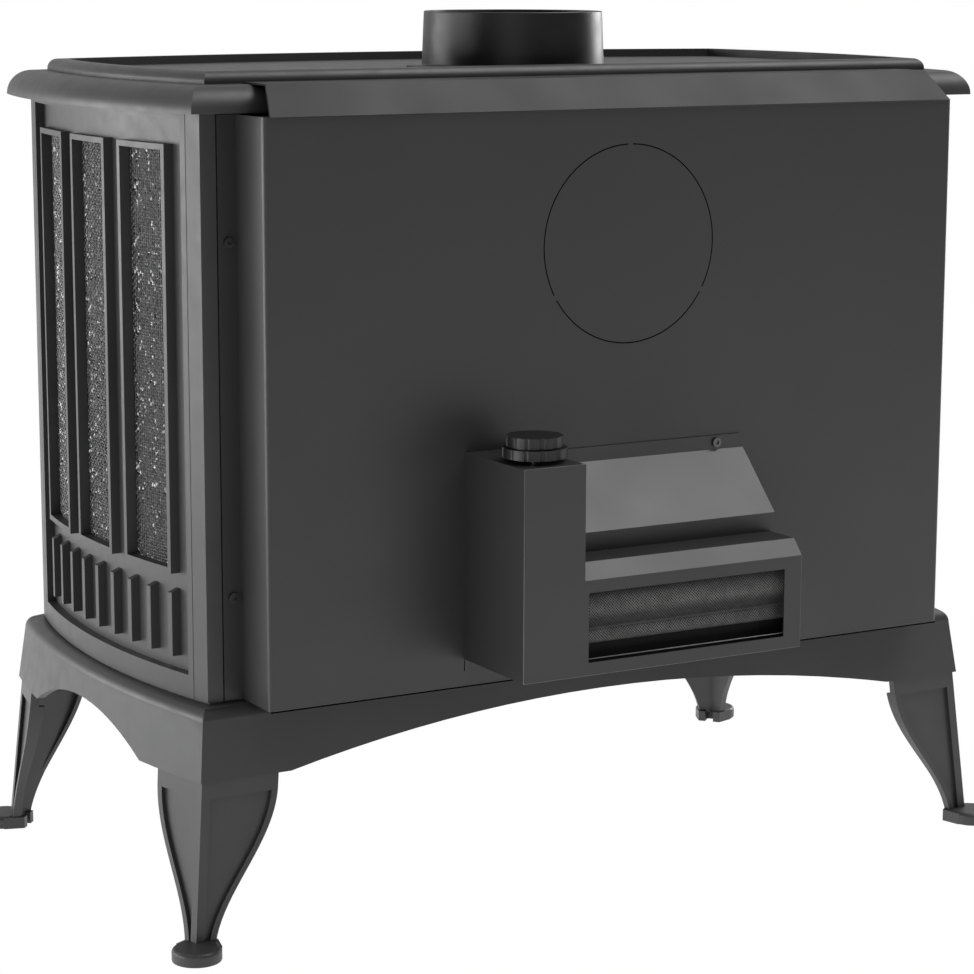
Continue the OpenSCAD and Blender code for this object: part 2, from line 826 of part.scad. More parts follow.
// Top casting: quarter-round moulding, flat ledge, raised rim and sunk panel
module top_outline() {
    translate([-far, body_top]) square([far + top_out - moulding_r, moulding_r]);
    intersection() {
        translate([top_out - moulding_r, body_top]) circle(r = moulding_r, $fn = 2 * round_fn);
        translate([-far, body_top]) square([2 * far, moulding_r]);
    }
    rim_round = rim_h - 1.6;
    translate([-far, top_ledge - cut]) square([far - rim_in - rim_round, rim_h + cut]);
    translate([-far, top_ledge - cut]) square([far - rim_in, 1.6 + cut]);
    intersection() {
        translate([-rim_in - rim_round, top_ledge + 1.6]) circle(r = rim_round, $fn = round_fn);
        translate([-far, top_ledge]) square([2 * far, rim_h]);
    }
}

module top_plate() {
    rest_in = cast_t + 8;
    boss = 11;
    color(iron) place() difference() {
        bowed(mid_x, side_bow, edge_y, front_bow) top_outline();
        bowed(mid_x, side_bow, edge_y, front_bow)
            translate([-far, panel_z]) square([far - rim_in - rim_w, far]);
        difference() {
            bowed(mid_x, side_bow, edge_y, front_bow)
                translate([-far, body_top - cut]) square([far - rest_in, top_under - body_top + cut]);
            corner_copies() translate([tie_x, tie_y, body_top + 2]) cylinder(r = boss, h = 30, $fn = round_fn);
        }
        translate([0, flue_y, body_top]) cylinder(r = collar_low_r - 1, h = 60, $fn = 2 * round_fn);
        corner_copies() translate([tie_x, tie_y, body_top - cut])
            cylinder(r = tie_r + run_gap, h = 12, $fn = round_fn);
    }
}

module flue_collar() {
    flange_r = collar_low_r + 14;
    color(black) place() translate([0, flue_y, panel_z]) difference() {
        union() {
            cylinder(r1 = collar_low_r, r2 = collar_top_r, h = collar_h, $fn = 2 * round_fn);
            cylinder(r = flange_r, h = 3.5, $fn = 2 * round_fn);
            translate([0, 0, -spigot_h])
                cylinder(r = collar_low_r - 1 - seat, h = spigot_h + cut, $fn = 2 * round_fn);
        }
        translate([0, 0, -spigot_h - cut])
            cylinder(r = flue_r, h = collar_h + spigot_h + 2 * cut, $fn = 2 * round_fn);
    }
}

module flue_outlet() {
    color(steel) place() translate([0, flue_y, fire_high]) difference() {
        cylinder(r = flue_r + 6, h = panel_z - spigot_h - seat - fire_high, $fn = 2 * round_fn);
        translate([0, 0, -cut]) cylinder(r = flue_r + 1.8, h = far, $fn = 2 * round_fn);
    }
}

// Steel plate that closes the rear of the body
module back_plate() {
    color(sheet) place() difference() {
        block(-flange_x, flange_x, back_y - back_t, back_y, base_z + seat, body_top - seat);
        block(-port_x, port_x, 0, far, port_low, port_high);
        for (h = screw_heights)
            both_sides() translate([screw_x, 0, base_z + h]) rod_y(2.6, 0, far);
    }
}

// Plan of the pan from y0 to its face, drawn inward by g
module pan_plan(g, y0) {
    r = bend_r;
    translate([-pan_x + g, y0]) square([2 * (pan_x - g), shield_y - r - y0]);
    translate([-pan_x + r, y0]) square([2 * (pan_x - r), shield_y - g - y0]);
    for (s = [-1, 1])
        translate([s * (pan_x - r), shield_y - r]) circle(r = r - g, $fn = round_fn);
}

module knock_out() {
    tab = 5;
    rotate([-90, 0, 0]) linear_extrude(height = far) difference() {
        circle(r = knock_r + knock_cut / 2, $fn = 2 * round_fn);
        circle(r = knock_r - knock_cut / 2, $fn = 2 * round_fn);
        for (a = [0, 120, 240])
            rotate(a) translate([-tab / 2, -knock_r - 5]) square([tab, 10]);
    }
}

module rear_heat_shield() {
    slit = 1;
    color(sheet) place() difference() {
        union() {
            raise(shield_low, shield_high) difference() {
                pan_plan(0, back_y);
                pan_plan(sheet_t, back_y - cut);
            }
            both_sides() block(pan_x - sheet_t, flange_x, back_y, back_y + sheet_t,
                shield_low, shield_high);
            block(-pan_x + bend_r, pan_x - bend_r, shield_y - 20, shield_y - sheet_t / 2,
                shield_high - sheet_t, shield_high);
        }
        translate([0, shield_y - 10, knock_z]) knock_out();
        block(-port_x, port_x, shield_y - 10, far, port_low, port_high);
        block(tower_x, tower_x + slit, shield_y - 10, far, base_z + 14.7, base_z + 24.6);
        for (h = screw_heights)
            both_sides() translate([screw_x, 0, base_z + h]) rod_y(2.6, 0, far);
        for (x = hood_screw_xs)
            translate([x, shield_y - 10, hood_top - hood_flange / 2]) rod_y(2.6, 0, far);
    }
}

// Folded visor from the top's ledge down to the shield
module shield_visor() {
    y0 = edge_y - rim_in + 1;
    y1 = visor_high[0];
    y2 = visor_low[0];
    z1 = visor_high[1];
    z2 = visor_low[1];
    slope = atan2(z1 - z2, y2 - y1);
    bend = sheet_t * tan(slope / 2);
    z3 = z2 - 2 * sheet_t;
    color(sheet) place() intersection() {
        rotate([90, 0, 90]) linear_extrude(height = 2 * pan_x, center = true)
            polygon([[y0, z1 - sheet_t], [y1 - bend, z1 - sheet_t],
                [y2 - sheet_t * sin(slope), z2 - sheet_t * cos(slope)], [y2, z2], [y1, z1], [y0, z1]]);
        rotate([90, 0, 0]) linear_extrude(height = body_w, center = true)
            polygon([[-visor_x(z3), z3], [visor_x(z3), z3], [visor_x(z1 + cut), z1 + cut],
                [-visor_x(z1 + cut), z1 + cut]]);
    }
}

module pan_screw(len) {
    head_r = 4.4;
    head_h = 2.4;
    difference() {
        union() {
            rod_y(2.1, -len, cut);
            rod_y(head_r, 0, head_h);
        }
        translate([0, head_h - 1.3, 0]) rotate([-90, 0, 0]) cylinder(r = 2, h = 4, $fn = 6);
    }
}

module shield_screws() {
    color(steel) place() both_sides() for (h = screw_heights)
        translate([screw_x, back_y + sheet_t, base_z + h]) pan_screw(6);
}

// Outline of the low box along its depth, grown inward by g
module low_box_plan(g) {
    b = bevel_h - 0.6 * g;
    polygon([[shield_y, box_z + g], [box_y - g, box_z + g], [box_y - g, box_top - b - 0.4 * g],
        [box_y - 0.9 * b - g, box_top - g], [shield_y, box_top - g]]);
}

module low_box(g, y_cut) {
    translate([-box_left + g, 0, 0]) rotate([90, 0, 90])
        linear_extrude(height = box_left + box_right + g) translate([y_cut, 0]) low_box_plan(g);
}

module air_housing() {
    dot = 1.3;
    color(sheet) place() difference() {
        union() {
            low_box(0, 0);
            block(box_right, tower_x, shield_y, box_y, box_z, tower_top);
        }
        low_box(sheet_t, 0);
        block(box_right, tower_x - sheet_t, shield_y - cut, box_y - sheet_t,
            box_z + sheet_t, box_top - bevel_h);
        block(box_right + sheet_t, tower_x - sheet_t, shield_y - cut, box_y - sheet_t,
            box_z + sheet_t, tower_top - sheet_t);
        block(-box_left + sheet_t, box_right, shield_y - cut, shield_y + cut,
            box_z + sheet_t, box_top - sheet_t);
        block(-window_x, window_x, box_y - 2 * sheet_t, far, grille_z, grille_z + grille_h);
        translate([knob_x, knob_y, tower_top - 10]) cylinder(r = spindle_r + run_gap, h = 20, $fn = round_fn);
        for (z = [box_z, tower_top])
            translate([tower_x, box_y, z]) sphere(r = dot, $fn = round_fn);
    }
}

// Perforated sheet in two soft folds behind the intake window
module screen_fold(r, y, z, t, a) {
    translate([y, z]) intersection() {
        difference() {
            circle(r = r, $fn = 2 * round_fn);
            circle(r = r - t, $fn = 2 * round_fn);
        }
        translate([0, -r - cut]) square([r + cut, 2 * (r + cut)]);
        polygon([[0, 0], [2 * r, -2 * r * tan(a)], [2 * r, 2 * r * tan(a)]]);
    }
}

module intake_screen() {
    t = 1;
    big = 26;
    small = 12;
    low = grille_z + 16;
    z1 = low + small * sin(60) + big * sin(50);
    color(black) place() translate([-box_left + sheet_t + seat, 0, 0]) rotate([90, 0, 90])
        linear_extrude(height = box_left + box_right - sheet_t - 2 * seat) {
            screen_fold(big, box_y - 38, low + 26, t, 50);
            screen_fold(small, box_y - 30, low - 2, t, 60);
            translate([box_y - 24.4, low + 5.4]) square([3.4, 2]);
            translate([box_y - 21.8, low + 45.2]) square([t, box_top - sheet_t - seat - low - 45.2]);
            translate([box_y - 24.6, box_z + sheet_t + seat]) square([t, low - 11.6 - box_z - sheet_t - seat]);
        }
}

module intake_duct() {
    t = 2;
    y1 = shield_y - sheet_t;
    color(sheet) place() difference() {
        block(-port_x - t, port_x + t, back_y, y1, port_low - t, port_high + t);
        block(-port_x, port_x, back_y - cut, y1 + cut, port_low, port_high);
    }
}

// Slanted hood over the housing, with its flange, lip and end cheeks
module air_hood() {
    x0 = hood_x0;
    x1 = hood_x1;
    flange_in = 3.4;
    z_flange = hood_top - hood_flange;
    z_lip = box_top + hood_lip;
    dy = hood_deep - sheet_t;
    dz = z_flange - z_lip;
    slope = sqrt(pow(dy, 2) + pow(dz, 2));
    y1 = shield_y + hood_deep;
    color(sheet) place() {
        difference() {
            block(x0 + flange_in, x1, shield_y, shield_y + sheet_t, z_flange, hood_top);
            for (x = hood_screw_xs)
                translate([x, 0, hood_top - hood_flange / 2]) rod_y(2.6, 0, far);
        }
        translate([x0, 0, 0]) rotate([90, 0, 90]) linear_extrude(height = x1 - x0)
            polygon([[shield_y, z_flange], [shield_y + sheet_t, z_flange], [y1, z_lip], [y1, box_top],
                [y1 - sheet_t, box_top], [y1 - sheet_t, z_lip - 0.5], [shield_y, z_flange - sheet_t]]);
        for (x = [x0, x1 - sheet_t])
            translate([x, 0, 0]) rotate([90, 0, 90]) linear_extrude(height = sheet_t)
                polygon([[shield_y, box_top], [y1, box_top], [y1, z_lip], [shield_y, z_flange]]);
    }
}

module hood_screws() {
    color(steel) place() for (x = hood_screw_xs)
        translate([x, shield_y + sheet_t, hood_top - hood_flange / 2]) pan_screw(6);
}

// Timer inside the upright box: a fixed plate with ports, a geared shutter and the knob's spindle
module shutter_ports(r) {
    for (s = [-1, 1])
        translate([s * 0.58 * shutter_r, 0, -cut]) cylinder(r = r, h = 20, $fn = round_fn);
}

module timer_plate() {
    color(sheet) place() difference() {
        block(box_right + sheet_t + seat, tower_x - sheet_t - seat, shield_y + 2, box_y - sheet_t - seat,
            plate_z - 2, plate_z);
        translate([knob_x, knob_y, plate_z - 10]) cylinder(r = spindle_r + run_gap, h = 20, $fn = round_fn);
        translate([knob_x, wheel_y, plate_z - 10]) cylinder(r = spindle_r + run_gap, h = 20, $fn = round_fn);
        translate([knob_x, wheel_y, plate_z - 5]) rotate(90) shutter_ports(6);
    }
}

// Spur gear with straight flanks and backlash
module gear_plan(n, m) {
    root = m * n / 2 - 1.25 * m;
    tip = m * n / 2 + 0.9 * m;
    half_root = 90 / n * 1.32;
    half_tip = 90 / n * 0.42;
    polygon([for (i = [0:n - 1], k = [0:3])
        let (a = 360 * i / n + [-half_root, -half_tip, half_tip, half_root][k], r = [root, tip, tip, root][k])
            [r * cos(a), r * sin(a)]]);
}

module startup_shutter() {
    color(steel) place() translate([knob_x, wheel_y, 0]) {
        translate([0, 0, gear_z]) rotate(90 + 180 / wheel_n)
            linear_extrude(height = gear_h) gear_plan(wheel_n, gear_m);
        raise(plate_z - pivot_deep, gear_z + gear_h + 6) circle(r = spindle_r, $fn = round_fn);
        translate([0, 0, plate_z + seat]) difference() {
            cylinder(r = shutter_r, h = 2, $fn = 2 * round_fn);
            shutter_ports(6.5);
        }
    }
}

module timer_spindle() {
    color(steel) place() translate([knob_x, knob_y, 0]) {
        raise(plate_z - pivot_deep, knob_z + 16) circle(r = spindle_r, $fn = round_fn);
        translate([0, 0, gear_z]) rotate(-90) linear_extrude(height = gear_h) gear_plan(pinion_n, gear_m);
    }
}

module scalloped(r, lobes, dip) {
    difference() {
        circle(r = r, $fn = 2 * round_fn);
        for (i = [0:lobes - 1])
            rotate((i + 0.5) * 360 / lobes) translate([r + dip * 0.6, 0]) circle(r = dip, $fn = 24);
    }
}

module timer_knob() {
    low_h = 8.5;
    top_h = 10;
    lobes = 12;
    color(black) place() translate([knob_x, knob_y, knob_z]) difference() {
        union() {
            linear_extrude(height = low_h) scalloped(knob_low_r, lobes, 3);
            translate([0, 0, low_h - cut]) cylinder(r = knob_top_r - 2, h = 2, $fn = 2 * round_fn);
            translate([0, 0, low_h + 1]) linear_extrude(height = top_h - 1) scalloped(knob_top_r, lobes, 3);
        }
        translate([0, 0, -cut]) cylinder(r = spindle_r + 0.02, h = 17 + cut, $fn = round_fn);
    }
}

// Firebox of welded plate, open at the front
module firebox_shell() {
    color(sheet) place() difference() {
        block(-fire_x, fire_x, -edge_y, fire_back, fire_low, fire_high);
        block(-fire_x + plate_t, fire_x - plate_t, -far, fire_back - plate_t, floor_z, fire_high - plate_t);
        translate([0, flue_y, fire_high - 10]) cylinder(r = flue_r + 1.8, h = 20, $fn = 2 * round_fn);
        block(-chute_x, chute_x, chute_y0, chute_y1, fire_low - cut, floor_z + cut);
        block(-port_x, port_x, 0, far, port_low + 2, port_high - 2);
    }
}

module floor_bricks() {
    color(brick) place() for (i = [0:brick_cols - 1], j = [0:brick_rows - 1])
        if (j != 1 || i < 2 || i > 3) {
            x = -brick_x + i * brick_pitch_x;
            y = brick_front + j * brick_pitch_y;
            block(x, x + brick_pitch_x - brick_gap, y, y + brick_pitch_y - brick_gap,
                floor_z, floor_z + brick_t);
        }
}

module back_bricks() {
    cols = 5;
    rows = 2;
    pitch_x = 2 * brick_x / cols;
    pitch_z = (wall_top_z - floor_z) / rows;
    color(brick) place() difference() {
        for (i = [0:cols - 1], j = [0:rows - 1]) {
            x = -brick_x + i * pitch_x;
            z = floor_z + j * pitch_z;
            block(x, x + pitch_x - brick_gap, brick_back - brick_t, brick_back, z, z + pitch_z - brick_gap * j);
        }
        block(-30, 30, 0, far, port_low + 6, port_high - 6);
    }
}

module side_bricks() {
    cols = 3;
    pitch_y = (floor_bricks_back - brick_front) / cols;
    color(brick) place() both_sides() for (i = [0:cols - 1]) {
        y = brick_front + i * pitch_y;
        block(brick_x - brick_t, brick_x - brick_gap, y, y + pitch_y - brick_gap,
            floor_z + brick_t, wall_top_z);
    }
}

module ash_grate() {
    bar = 7;
    gap = 9;
    x1 = brick_pitch_x - 1.5;
    y0 = brick_front + brick_pitch_y + 0.7;
    y1 = brick_front + 2 * brick_pitch_y - 1.5;
    edge = 10;
    color(iron) place() difference() {
        block(-x1, x1, y0, y1, floor_z, floor_z + 16);
        for (x = [-x1 + edge:bar + gap:x1 - edge - gap])
            block(x, x + gap, y0 + edge, y1 - edge, floor_z - cut, floor_z + 17);
    }
}

module air_manifolds() {
    t = 2.5;
    color(sheet) place() both_sides() difference() {
        block(brick_x - brick_t, brick_x, brick_front, floor_bricks_back, wall_top_z, wall_top_z + manifold_h);
        block(brick_x - brick_t + t, brick_x - t, brick_front + t, floor_bricks_back + cut, wall_top_z + t,
            wall_top_z + manifold_h - t);
        for (i = [0:tube_count - 1])
            translate([brick_x - brick_t - 5, tube_y(i), wall_top_z + manifold_h / 2])
                rod_x(tube_r + run_gap, 0, 12);
    }
}

module air_tubes() {
    jets = 12;
    half = brick_x - brick_t + 10;
    jet_pitch = 44;
    color(steel) place() for (i = [0:tube_count - 1])
        translate([0, tube_y(i), wall_top_z + manifold_h / 2]) difference() {
            rod_x(tube_r, -half, half);
            rod_x(tube_r - 2, -half - cut, half + cut);
            for (j = [0:jets - 1])
                translate([(j - (jets - 1) / 2) * jet_pitch, 0, 0])
                    rotate([-50, 0, 0]) rod_y(2, -tube_r - cut, 0);
        }
}

module baffle_board() {
    color(brick) place()
        block(-brick_x + 1, brick_x - 1, brick_front + 60, fire_back - plate_t - 1, wall_top_z + manifold_h,
            wall_top_z + manifold_h + 20);
}

// Cast bar that keeps logs off the glass
module log_rest() {
    x1 = mouth_x - 12;
    z0 = floor_z + brick_t;
    color(iron) place() {
        block(-x1, x1, brick_front + 2, brick_front + 32, z0, z0 + 6);
        block(-x1, x1, brick_front + 2, brick_front + 9, z0, z0 + 32);
        for (x = [-0.8 * x1, 0, 0.8 * x1])
            block(x - 4, x + 4, brick_front + 4, brick_front + 28, z0 + 3, z0 + 22);
    }
}

module drawer_rails() {
    color(sheet) place() both_sides() {
        block(drawer_x - 16, drawer_x + 2.5, -edge_y + 4, drawer_back + 2, base_z, base_z + 2);
        block(drawer_x + seat, drawer_x + 2.5, -edge_y + 4, drawer_back + 2, base_z + 2 - cut, base_z + 24);
    }
}

module ash_pan() {
    color(sheet) place() difference() {
        block(-drawer_x, drawer_x, drawer_front_y, drawer_back, drawer_z0, drawer_z1);
        block(-drawer_x + sheet_t, drawer_x - sheet_t, drawer_front_y + sheet_t, drawer_back - sheet_t,
            drawer_z0 + sheet_t, far);
    }
}

module drawer_front() {
    z0 = base_z + 1;
    z1 = fire_low + 5;
    color(iron) place() {
        raise(z0, z1) front_arc(0.5, 9, -drawer_x - 12, drawer_x + 12);
        raise(z0 + 3, drawer_z1) front_lens(1, drawer_front_y, -drawer_x + 1, drawer_x - 1);
        raise(z0 + 5, z1 - 5) difference() {
            front_arc(8, 11, -drawer_x - 6, drawer_x + 6);
            front_arc(7, 12, -drawer_x, drawer_x);
        }
    }
}

module drawer_knob() {
    y0 = front_y(0, 9);
    color(black) place() translate([0, y0, knob_stem_z]) {
        rod_y(5, -14, 0);
        rotate([90, 0, 0]) rotate_extrude($fn = round_fn) {
            translate([0, 13]) square([9, 9]);
            translate([9, 17.5]) circle(r = 4.5, $fn = round_fn);
        }
    }
}

// Primary air: a box with slots under the firebox and a sliding shutter on a lever
module primary_air_box() {
    t = 2;
    deep = 90;
    x0 = lever_x - lever_box_x;
    x1 = lever_x + lever_box_x;
    z0 = base_z;
    z1 = fire_low;
    color(sheet) place() difference() {
        block(x0, x1, lever_box_y, lever_box_y + deep, z0, z1);
        block(x0 + t, x1 - t, lever_box_y + t, lever_box_y + deep + cut, z0 + t, z1 - t);
        for (x = slot_xs)
            block(lever_x + x, lever_x + x + slot_w, lever_box_y - cut, lever_box_y + t + cut,
                z0 + slot_in, z1 - slot_in);
    }
}

module air_shutter() {
    t = 3;
    color(steel) place() difference() {
        block(lever_x - 28, lever_x + 28, lever_box_y - seat - t, lever_box_y - seat,
            base_z + 0.4, fire_low - 4);
        for (x = slot_xs)
            block(lever_x + x, lever_x + x + slot_w, -far, 0, lever_z + leg_bolt_r + 2, fire_low - slot_in);
    }
}

module air_lever() {
    color(steel) place() translate([lever_x, 0, lever_z]) rod_y(4, lever_tip, lever_box_y - seat - 3);
}

module lever_knob() {
    color(black) place() translate([lever_x, lever_tip, lever_z]) rotate([90, 0, 0])
        rotate_extrude($fn = round_fn) {
            square([6, 22]);
            translate([0, 4]) square([9, 14]);
            translate([0, 12]) circle_half(12);
        }
}

// Door: a bowed casting with an arched window
module view_plan(g) {
    w = view_w / 2 + g;
    r = bow_radius(view_w / 2, view_rise);
    intersection() {
        translate([-w, view_z0 - g]) square([2 * w, view_z1 - view_z0 + 2 * g]);
        translate([0, view_z1 - r]) circle(r = r + g, $fn = bow_fn);
    }
}

module view_cut(g) {
    rotate([90, 0, 0]) linear_extrude(height = far) view_plan(g);
}

module bow_slab(o0, o1, x0, x1, z0, z1) {
    raise(z0, z1) front_arc(o0, o1, x0, x1);
}

// A bowed slab of the door's outline drawn inward by g
module door_slab(o0, o1, g) {
    bow_slab(o0, o1, -door_x + g, door_x - g, door_z0 + g, door_z1 - g);
}

module door_casting() {
    bead = 9;
    bead_h = 4;
    boss_r = 13;
    groove_end = gasket_edge + gasket_w;
    color(iron) place() difference() {
        union() {
            door_slab(door_off, door_face, 0);
            intersection() {
                door_slab(door_face - cut, door_face + bead_h, 0);
                view_cut(bead);
            }
            for (h = hinge_heights)
                translate([0, 0, base_z + h + seat]) {
                    translate([hinge_x, hinge_y, 0]) cylinder(r = hinge_r, h = knuckle_h, $fn = round_fn);
                    block(hinge_x, -door_x + 8, hinge_y - 5, hinge_y + 5, 0, knuckle_h);
                }
            translate([handle_x, 0, handle_z]) rod_y(boss_r, handle_y + 14, front_y(handle_x, door_off) - 2);
        }
        view_cut(0);
        intersection() {
            door_slab(0, glass_back + glass_t + glass_gasket_t, 0);
            view_cut(rebate);
        }
        difference() {
            door_slab(0, door_off + gasket_in, gasket_edge);
            door_slab(-cut, door_off + gasket_in + cut, groove_end);
        }
        for (h = hinge_heights)
            translate([hinge_x, hinge_y, base_z + h - cut])
                cylinder(r = pin_r + run_gap, h = knuckle_h + 3, $fn = round_fn);
        translate([handle_x, 0, handle_z]) rod_y(shaft_r + run_gap, -far, 0);
        for (s = clip_spots)
            translate([s[0], 0, s[1]]) rod_y(2.05, front_y(s[0], door_off + 7), -edge_y);
    }
}

module door_gasket() {
    side_gap = 0.2;
    color(rope) place() difference() {
        door_slab(seat, door_off + gasket_in, gasket_edge + side_gap);
        door_slab(seat - cut, door_off + gasket_in + cut, gasket_edge + gasket_w - side_gap);
    }
}

module door_glass() {
    color([0.2, 0.2, 0.22, 0.35]) place() intersection() {
        door_slab(glass_back, glass_back + glass_t, 0);
        view_cut(rebate - 1.5);
    }
}

module glass_gasket() {
    color(rope) place() difference() {
        intersection() {
            door_slab(glass_back + glass_t, glass_back + glass_t + glass_gasket_t, 0);
            view_cut(rebate - 1);
        }
        view_cut(1.5);
    }
}

// Clips beside the glass at its left and right, and below its sill
module glass_clips() {
    tail = 6;
    reach = 14;
    toe = 4;
    half = 8;
    color(steel) place() difference() {
        union() {
            both_sides() for (z = clip_side_zs) {
                bow_slab(1, door_off, clip_side_x - reach, clip_side_x + tail, z - half, z + half);
                bow_slab(door_off - 0.5, glass_back, clip_side_x - reach, clip_side_x - reach + toe,
                    z - half, z + half);
            }
            both_sides() {
                bow_slab(1, door_off, clip_low_x - half, clip_low_x + half,
                    clip_low_z - tail, clip_low_z + reach);
                bow_slab(door_off - 0.5, glass_back, clip_low_x - half, clip_low_x + half,
                    clip_low_z + reach - toe, clip_low_z + reach);
            }
        }
        for (s = clip_spots)
            translate([s[0], 0, s[1]]) rod_y(2.3, -far, 0);
    }
}

module clip_screws() {
    color(steel) place() for (s = clip_spots) {
        y = front_y(s[0], 1);
        head_r = 4;
        lift = seat + head_r * abs(s[0]) / (front_cy - y);
        translate([s[0], y, s[1]]) {
            rod_y(2, -6, lift + cut);
            rod_y(head_r, lift, lift + 2.3);
        }
    }
}

module hinge_pins() {
    color(steel) place() for (h = hinge_heights)
        translate([hinge_x, hinge_y, base_z + h - pin_deep]) {
            cylinder(r = pin_r, h = pin_deep + knuckle_h + 1.5, $fn = round_fn);
            translate([0, 0, pin_deep + knuckle_h + 0.8]) cylinder(r = pin_r + 3, h = 3, $fn = round_fn);
        }
}

module handle_shaft() {
    color(steel) place() translate([handle_x, 0, handle_z]) rod_y(shaft_r, handle_y, cam_y + cam_t + 3);
}

module handle_grip() {
    hub_y = handle_y + 12.8;
    color(black) place() translate([handle_x, 0, handle_z]) {
        difference() {
            union() {
                rod_y(13, handle_y - 6, hub_y);
                translate([0, handle_y - 4, 0]) rotate([180, 0, 0]) rotate_extrude($fn = round_fn) {
                    square([6, 34]);
                    translate([0, 30]) square([9, grip_len - 40]);
                    translate([0, grip_len - 12]) circle_half(9);
                }
            }
            rod_y(shaft_r + run_gap, handle_y, hub_y + cut);
        }
    }
}

module circle_half(r) {
    intersection() {
        circle(r = r, $fn = round_fn);
        translate([0, -r]) square([r, 2 * r]);
    }
}

module latch_cam() {
    w = 8;
    color(steel) place() translate([handle_x, cam_y + cam_t, handle_z]) rotate([90, 0, 0])
        linear_extrude(height = cam_t) difference() {
            union() {
                circle(r = 12, $fn = round_fn);
                translate([-w, 0]) square([2 * w, cam_len - w]);
                translate([0, cam_len - w]) circle(r = w, $fn = round_fn);
            }
            circle(r = shaft_r + 0.02, $fn = round_fn);
        }
}

base_skirt();
leg_front_left();
leg_front_right();
leg_rear_left();
leg_rear_right();
leg_bolts();
tie_rods();
side_panel_left();
side_panel_right();
side_screens_left();
side_screens_right();
front_frame();
ash_lip();
top_plate();
flue_collar();
flue_outlet();
back_plate();
rear_heat_shield();
shield_visor();
shield_screws();
air_housing();
intake_screen();
intake_duct();
air_hood();
hood_screws();
timer_plate();
firebox_shell();
floor_bricks();
back_bricks();
side_bricks();
ash_grate();
air_manifolds();
air_tubes();
baffle_board();
log_rest();
drawer_rails();
primary_air_box();
hinge_pins();
door_casting();
door_gasket();
door_glass();
glass_gasket();
glass_clips();
clip_screws();
handle_shaft();
handle_grip();
latch_cam();
ash_pan();
drawer_front();
drawer_knob();
air_lever();
air_shutter();
lever_knob();
timer_knob();
timer_spindle();
startup_shutter();
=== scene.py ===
"""Looks of a cast iron wood stove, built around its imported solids.

Metres, in the part's own frame: X to the right of a person who faces the door, Y to the rear, Z up.
"""

import json
import math
import random

import bpy
from mathutils import Matrix, Vector


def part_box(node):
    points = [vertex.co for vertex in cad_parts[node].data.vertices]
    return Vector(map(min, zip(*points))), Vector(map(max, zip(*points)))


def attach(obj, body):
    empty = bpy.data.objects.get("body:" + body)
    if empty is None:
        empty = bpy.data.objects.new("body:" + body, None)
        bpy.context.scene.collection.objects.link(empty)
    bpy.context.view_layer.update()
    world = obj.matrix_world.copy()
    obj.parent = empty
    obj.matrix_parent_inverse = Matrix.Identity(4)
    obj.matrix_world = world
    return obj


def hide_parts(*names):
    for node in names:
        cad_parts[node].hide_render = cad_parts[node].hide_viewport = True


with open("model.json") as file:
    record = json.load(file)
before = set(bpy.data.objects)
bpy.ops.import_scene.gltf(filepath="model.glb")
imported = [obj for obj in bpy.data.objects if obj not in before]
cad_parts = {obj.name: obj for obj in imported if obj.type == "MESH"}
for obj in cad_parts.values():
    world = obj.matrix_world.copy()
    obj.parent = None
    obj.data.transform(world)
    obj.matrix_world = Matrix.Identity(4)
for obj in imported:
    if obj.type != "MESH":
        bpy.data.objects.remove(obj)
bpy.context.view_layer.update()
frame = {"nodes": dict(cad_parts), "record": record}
NODES = frame["nodes"]
MM = 0.001
SEED = 7
X_AXIS = Vector((1, 0, 0))
Y_AXIS = Vector((0, 1, 0))
Z_AXIS = Vector((0, 0, 1))

# Body sizes that the solids don't state by their boxes
BODY_HALF_WIDTH = 410 * MM
BODY_HALF_DEPTH = 192.5 * MM
SIDE_BOW = 23.5 * MM


def middle_y():
    """Middle of the body's depth."""
    low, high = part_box("side_panel_right")
    return (low.y + high.y) / 2


def side_radius():
    """Radius of the arc that both sides follow."""
    return (BODY_HALF_DEPTH**2 + SIDE_BOW**2) / (2 * SIDE_BOW)


# Camera
PHOTO_PIXELS = 974
FOCAL_PIXELS = 2888.58
SENSOR_MM = 36
CAMERA_PLACE = Vector((1.364565, 2.373491, 0.837034))
CAMERA_AZIMUTH = math.radians(150.339)
CAMERA_ELEVATION = math.radians(10.332)
CAMERA_ROLL = math.radians(0.134)
CAMERA_REACH = 60


def add_camera():
    """The photo's camera: a long lens that looks at the rear from the +X side."""
    a, e, roll = CAMERA_AZIMUTH, CAMERA_ELEVATION, CAMERA_ROLL
    back = Vector((math.sin(a) * math.cos(e), -math.cos(a) * math.cos(e), math.sin(e)))
    level = Vector((math.cos(a), math.sin(a), 0))
    rise = back.cross(level)
    right = level * math.cos(roll) + rise * math.sin(roll)
    up = rise * math.cos(roll) - level * math.sin(roll)
    data = bpy.data.cameras.new("photo_camera")
    data.sensor_width = SENSOR_MM
    data.lens = FOCAL_PIXELS / PHOTO_PIXELS * SENSOR_MM
    data.clip_end = CAMERA_REACH
    camera = bpy.data.objects.new("photo_camera", data)
    turn = Matrix((right, up, back)).transposed()
    camera.matrix_world = Matrix.Translation(CAMERA_PLACE) @ turn.to_4x4()
    bpy.context.scene.collection.objects.link(camera)
    bpy.context.scene.camera = camera


# Shader nodes
NOISE_SPAN = (0.3, 0.7)


def new_material(name):
    """A material, its node tree and its shader."""
    mat = bpy.data.materials.new(name)
    mat.use_nodes = True
    tree = mat.node_tree
    return mat, tree, tree.nodes["Principled BSDF"]


def math_node(tree, operation, first, second):
    """A sum, product or the like of two sockets or numbers."""
    node = tree.nodes.new("ShaderNodeMath")
    node.operation = operation
    for socket, value in zip(node.inputs, (first, second)):
        if isinstance(value, (int, float)):
            socket.default_value = value
        else:
            tree.links.new(value, socket)
    return node.outputs["Value"]


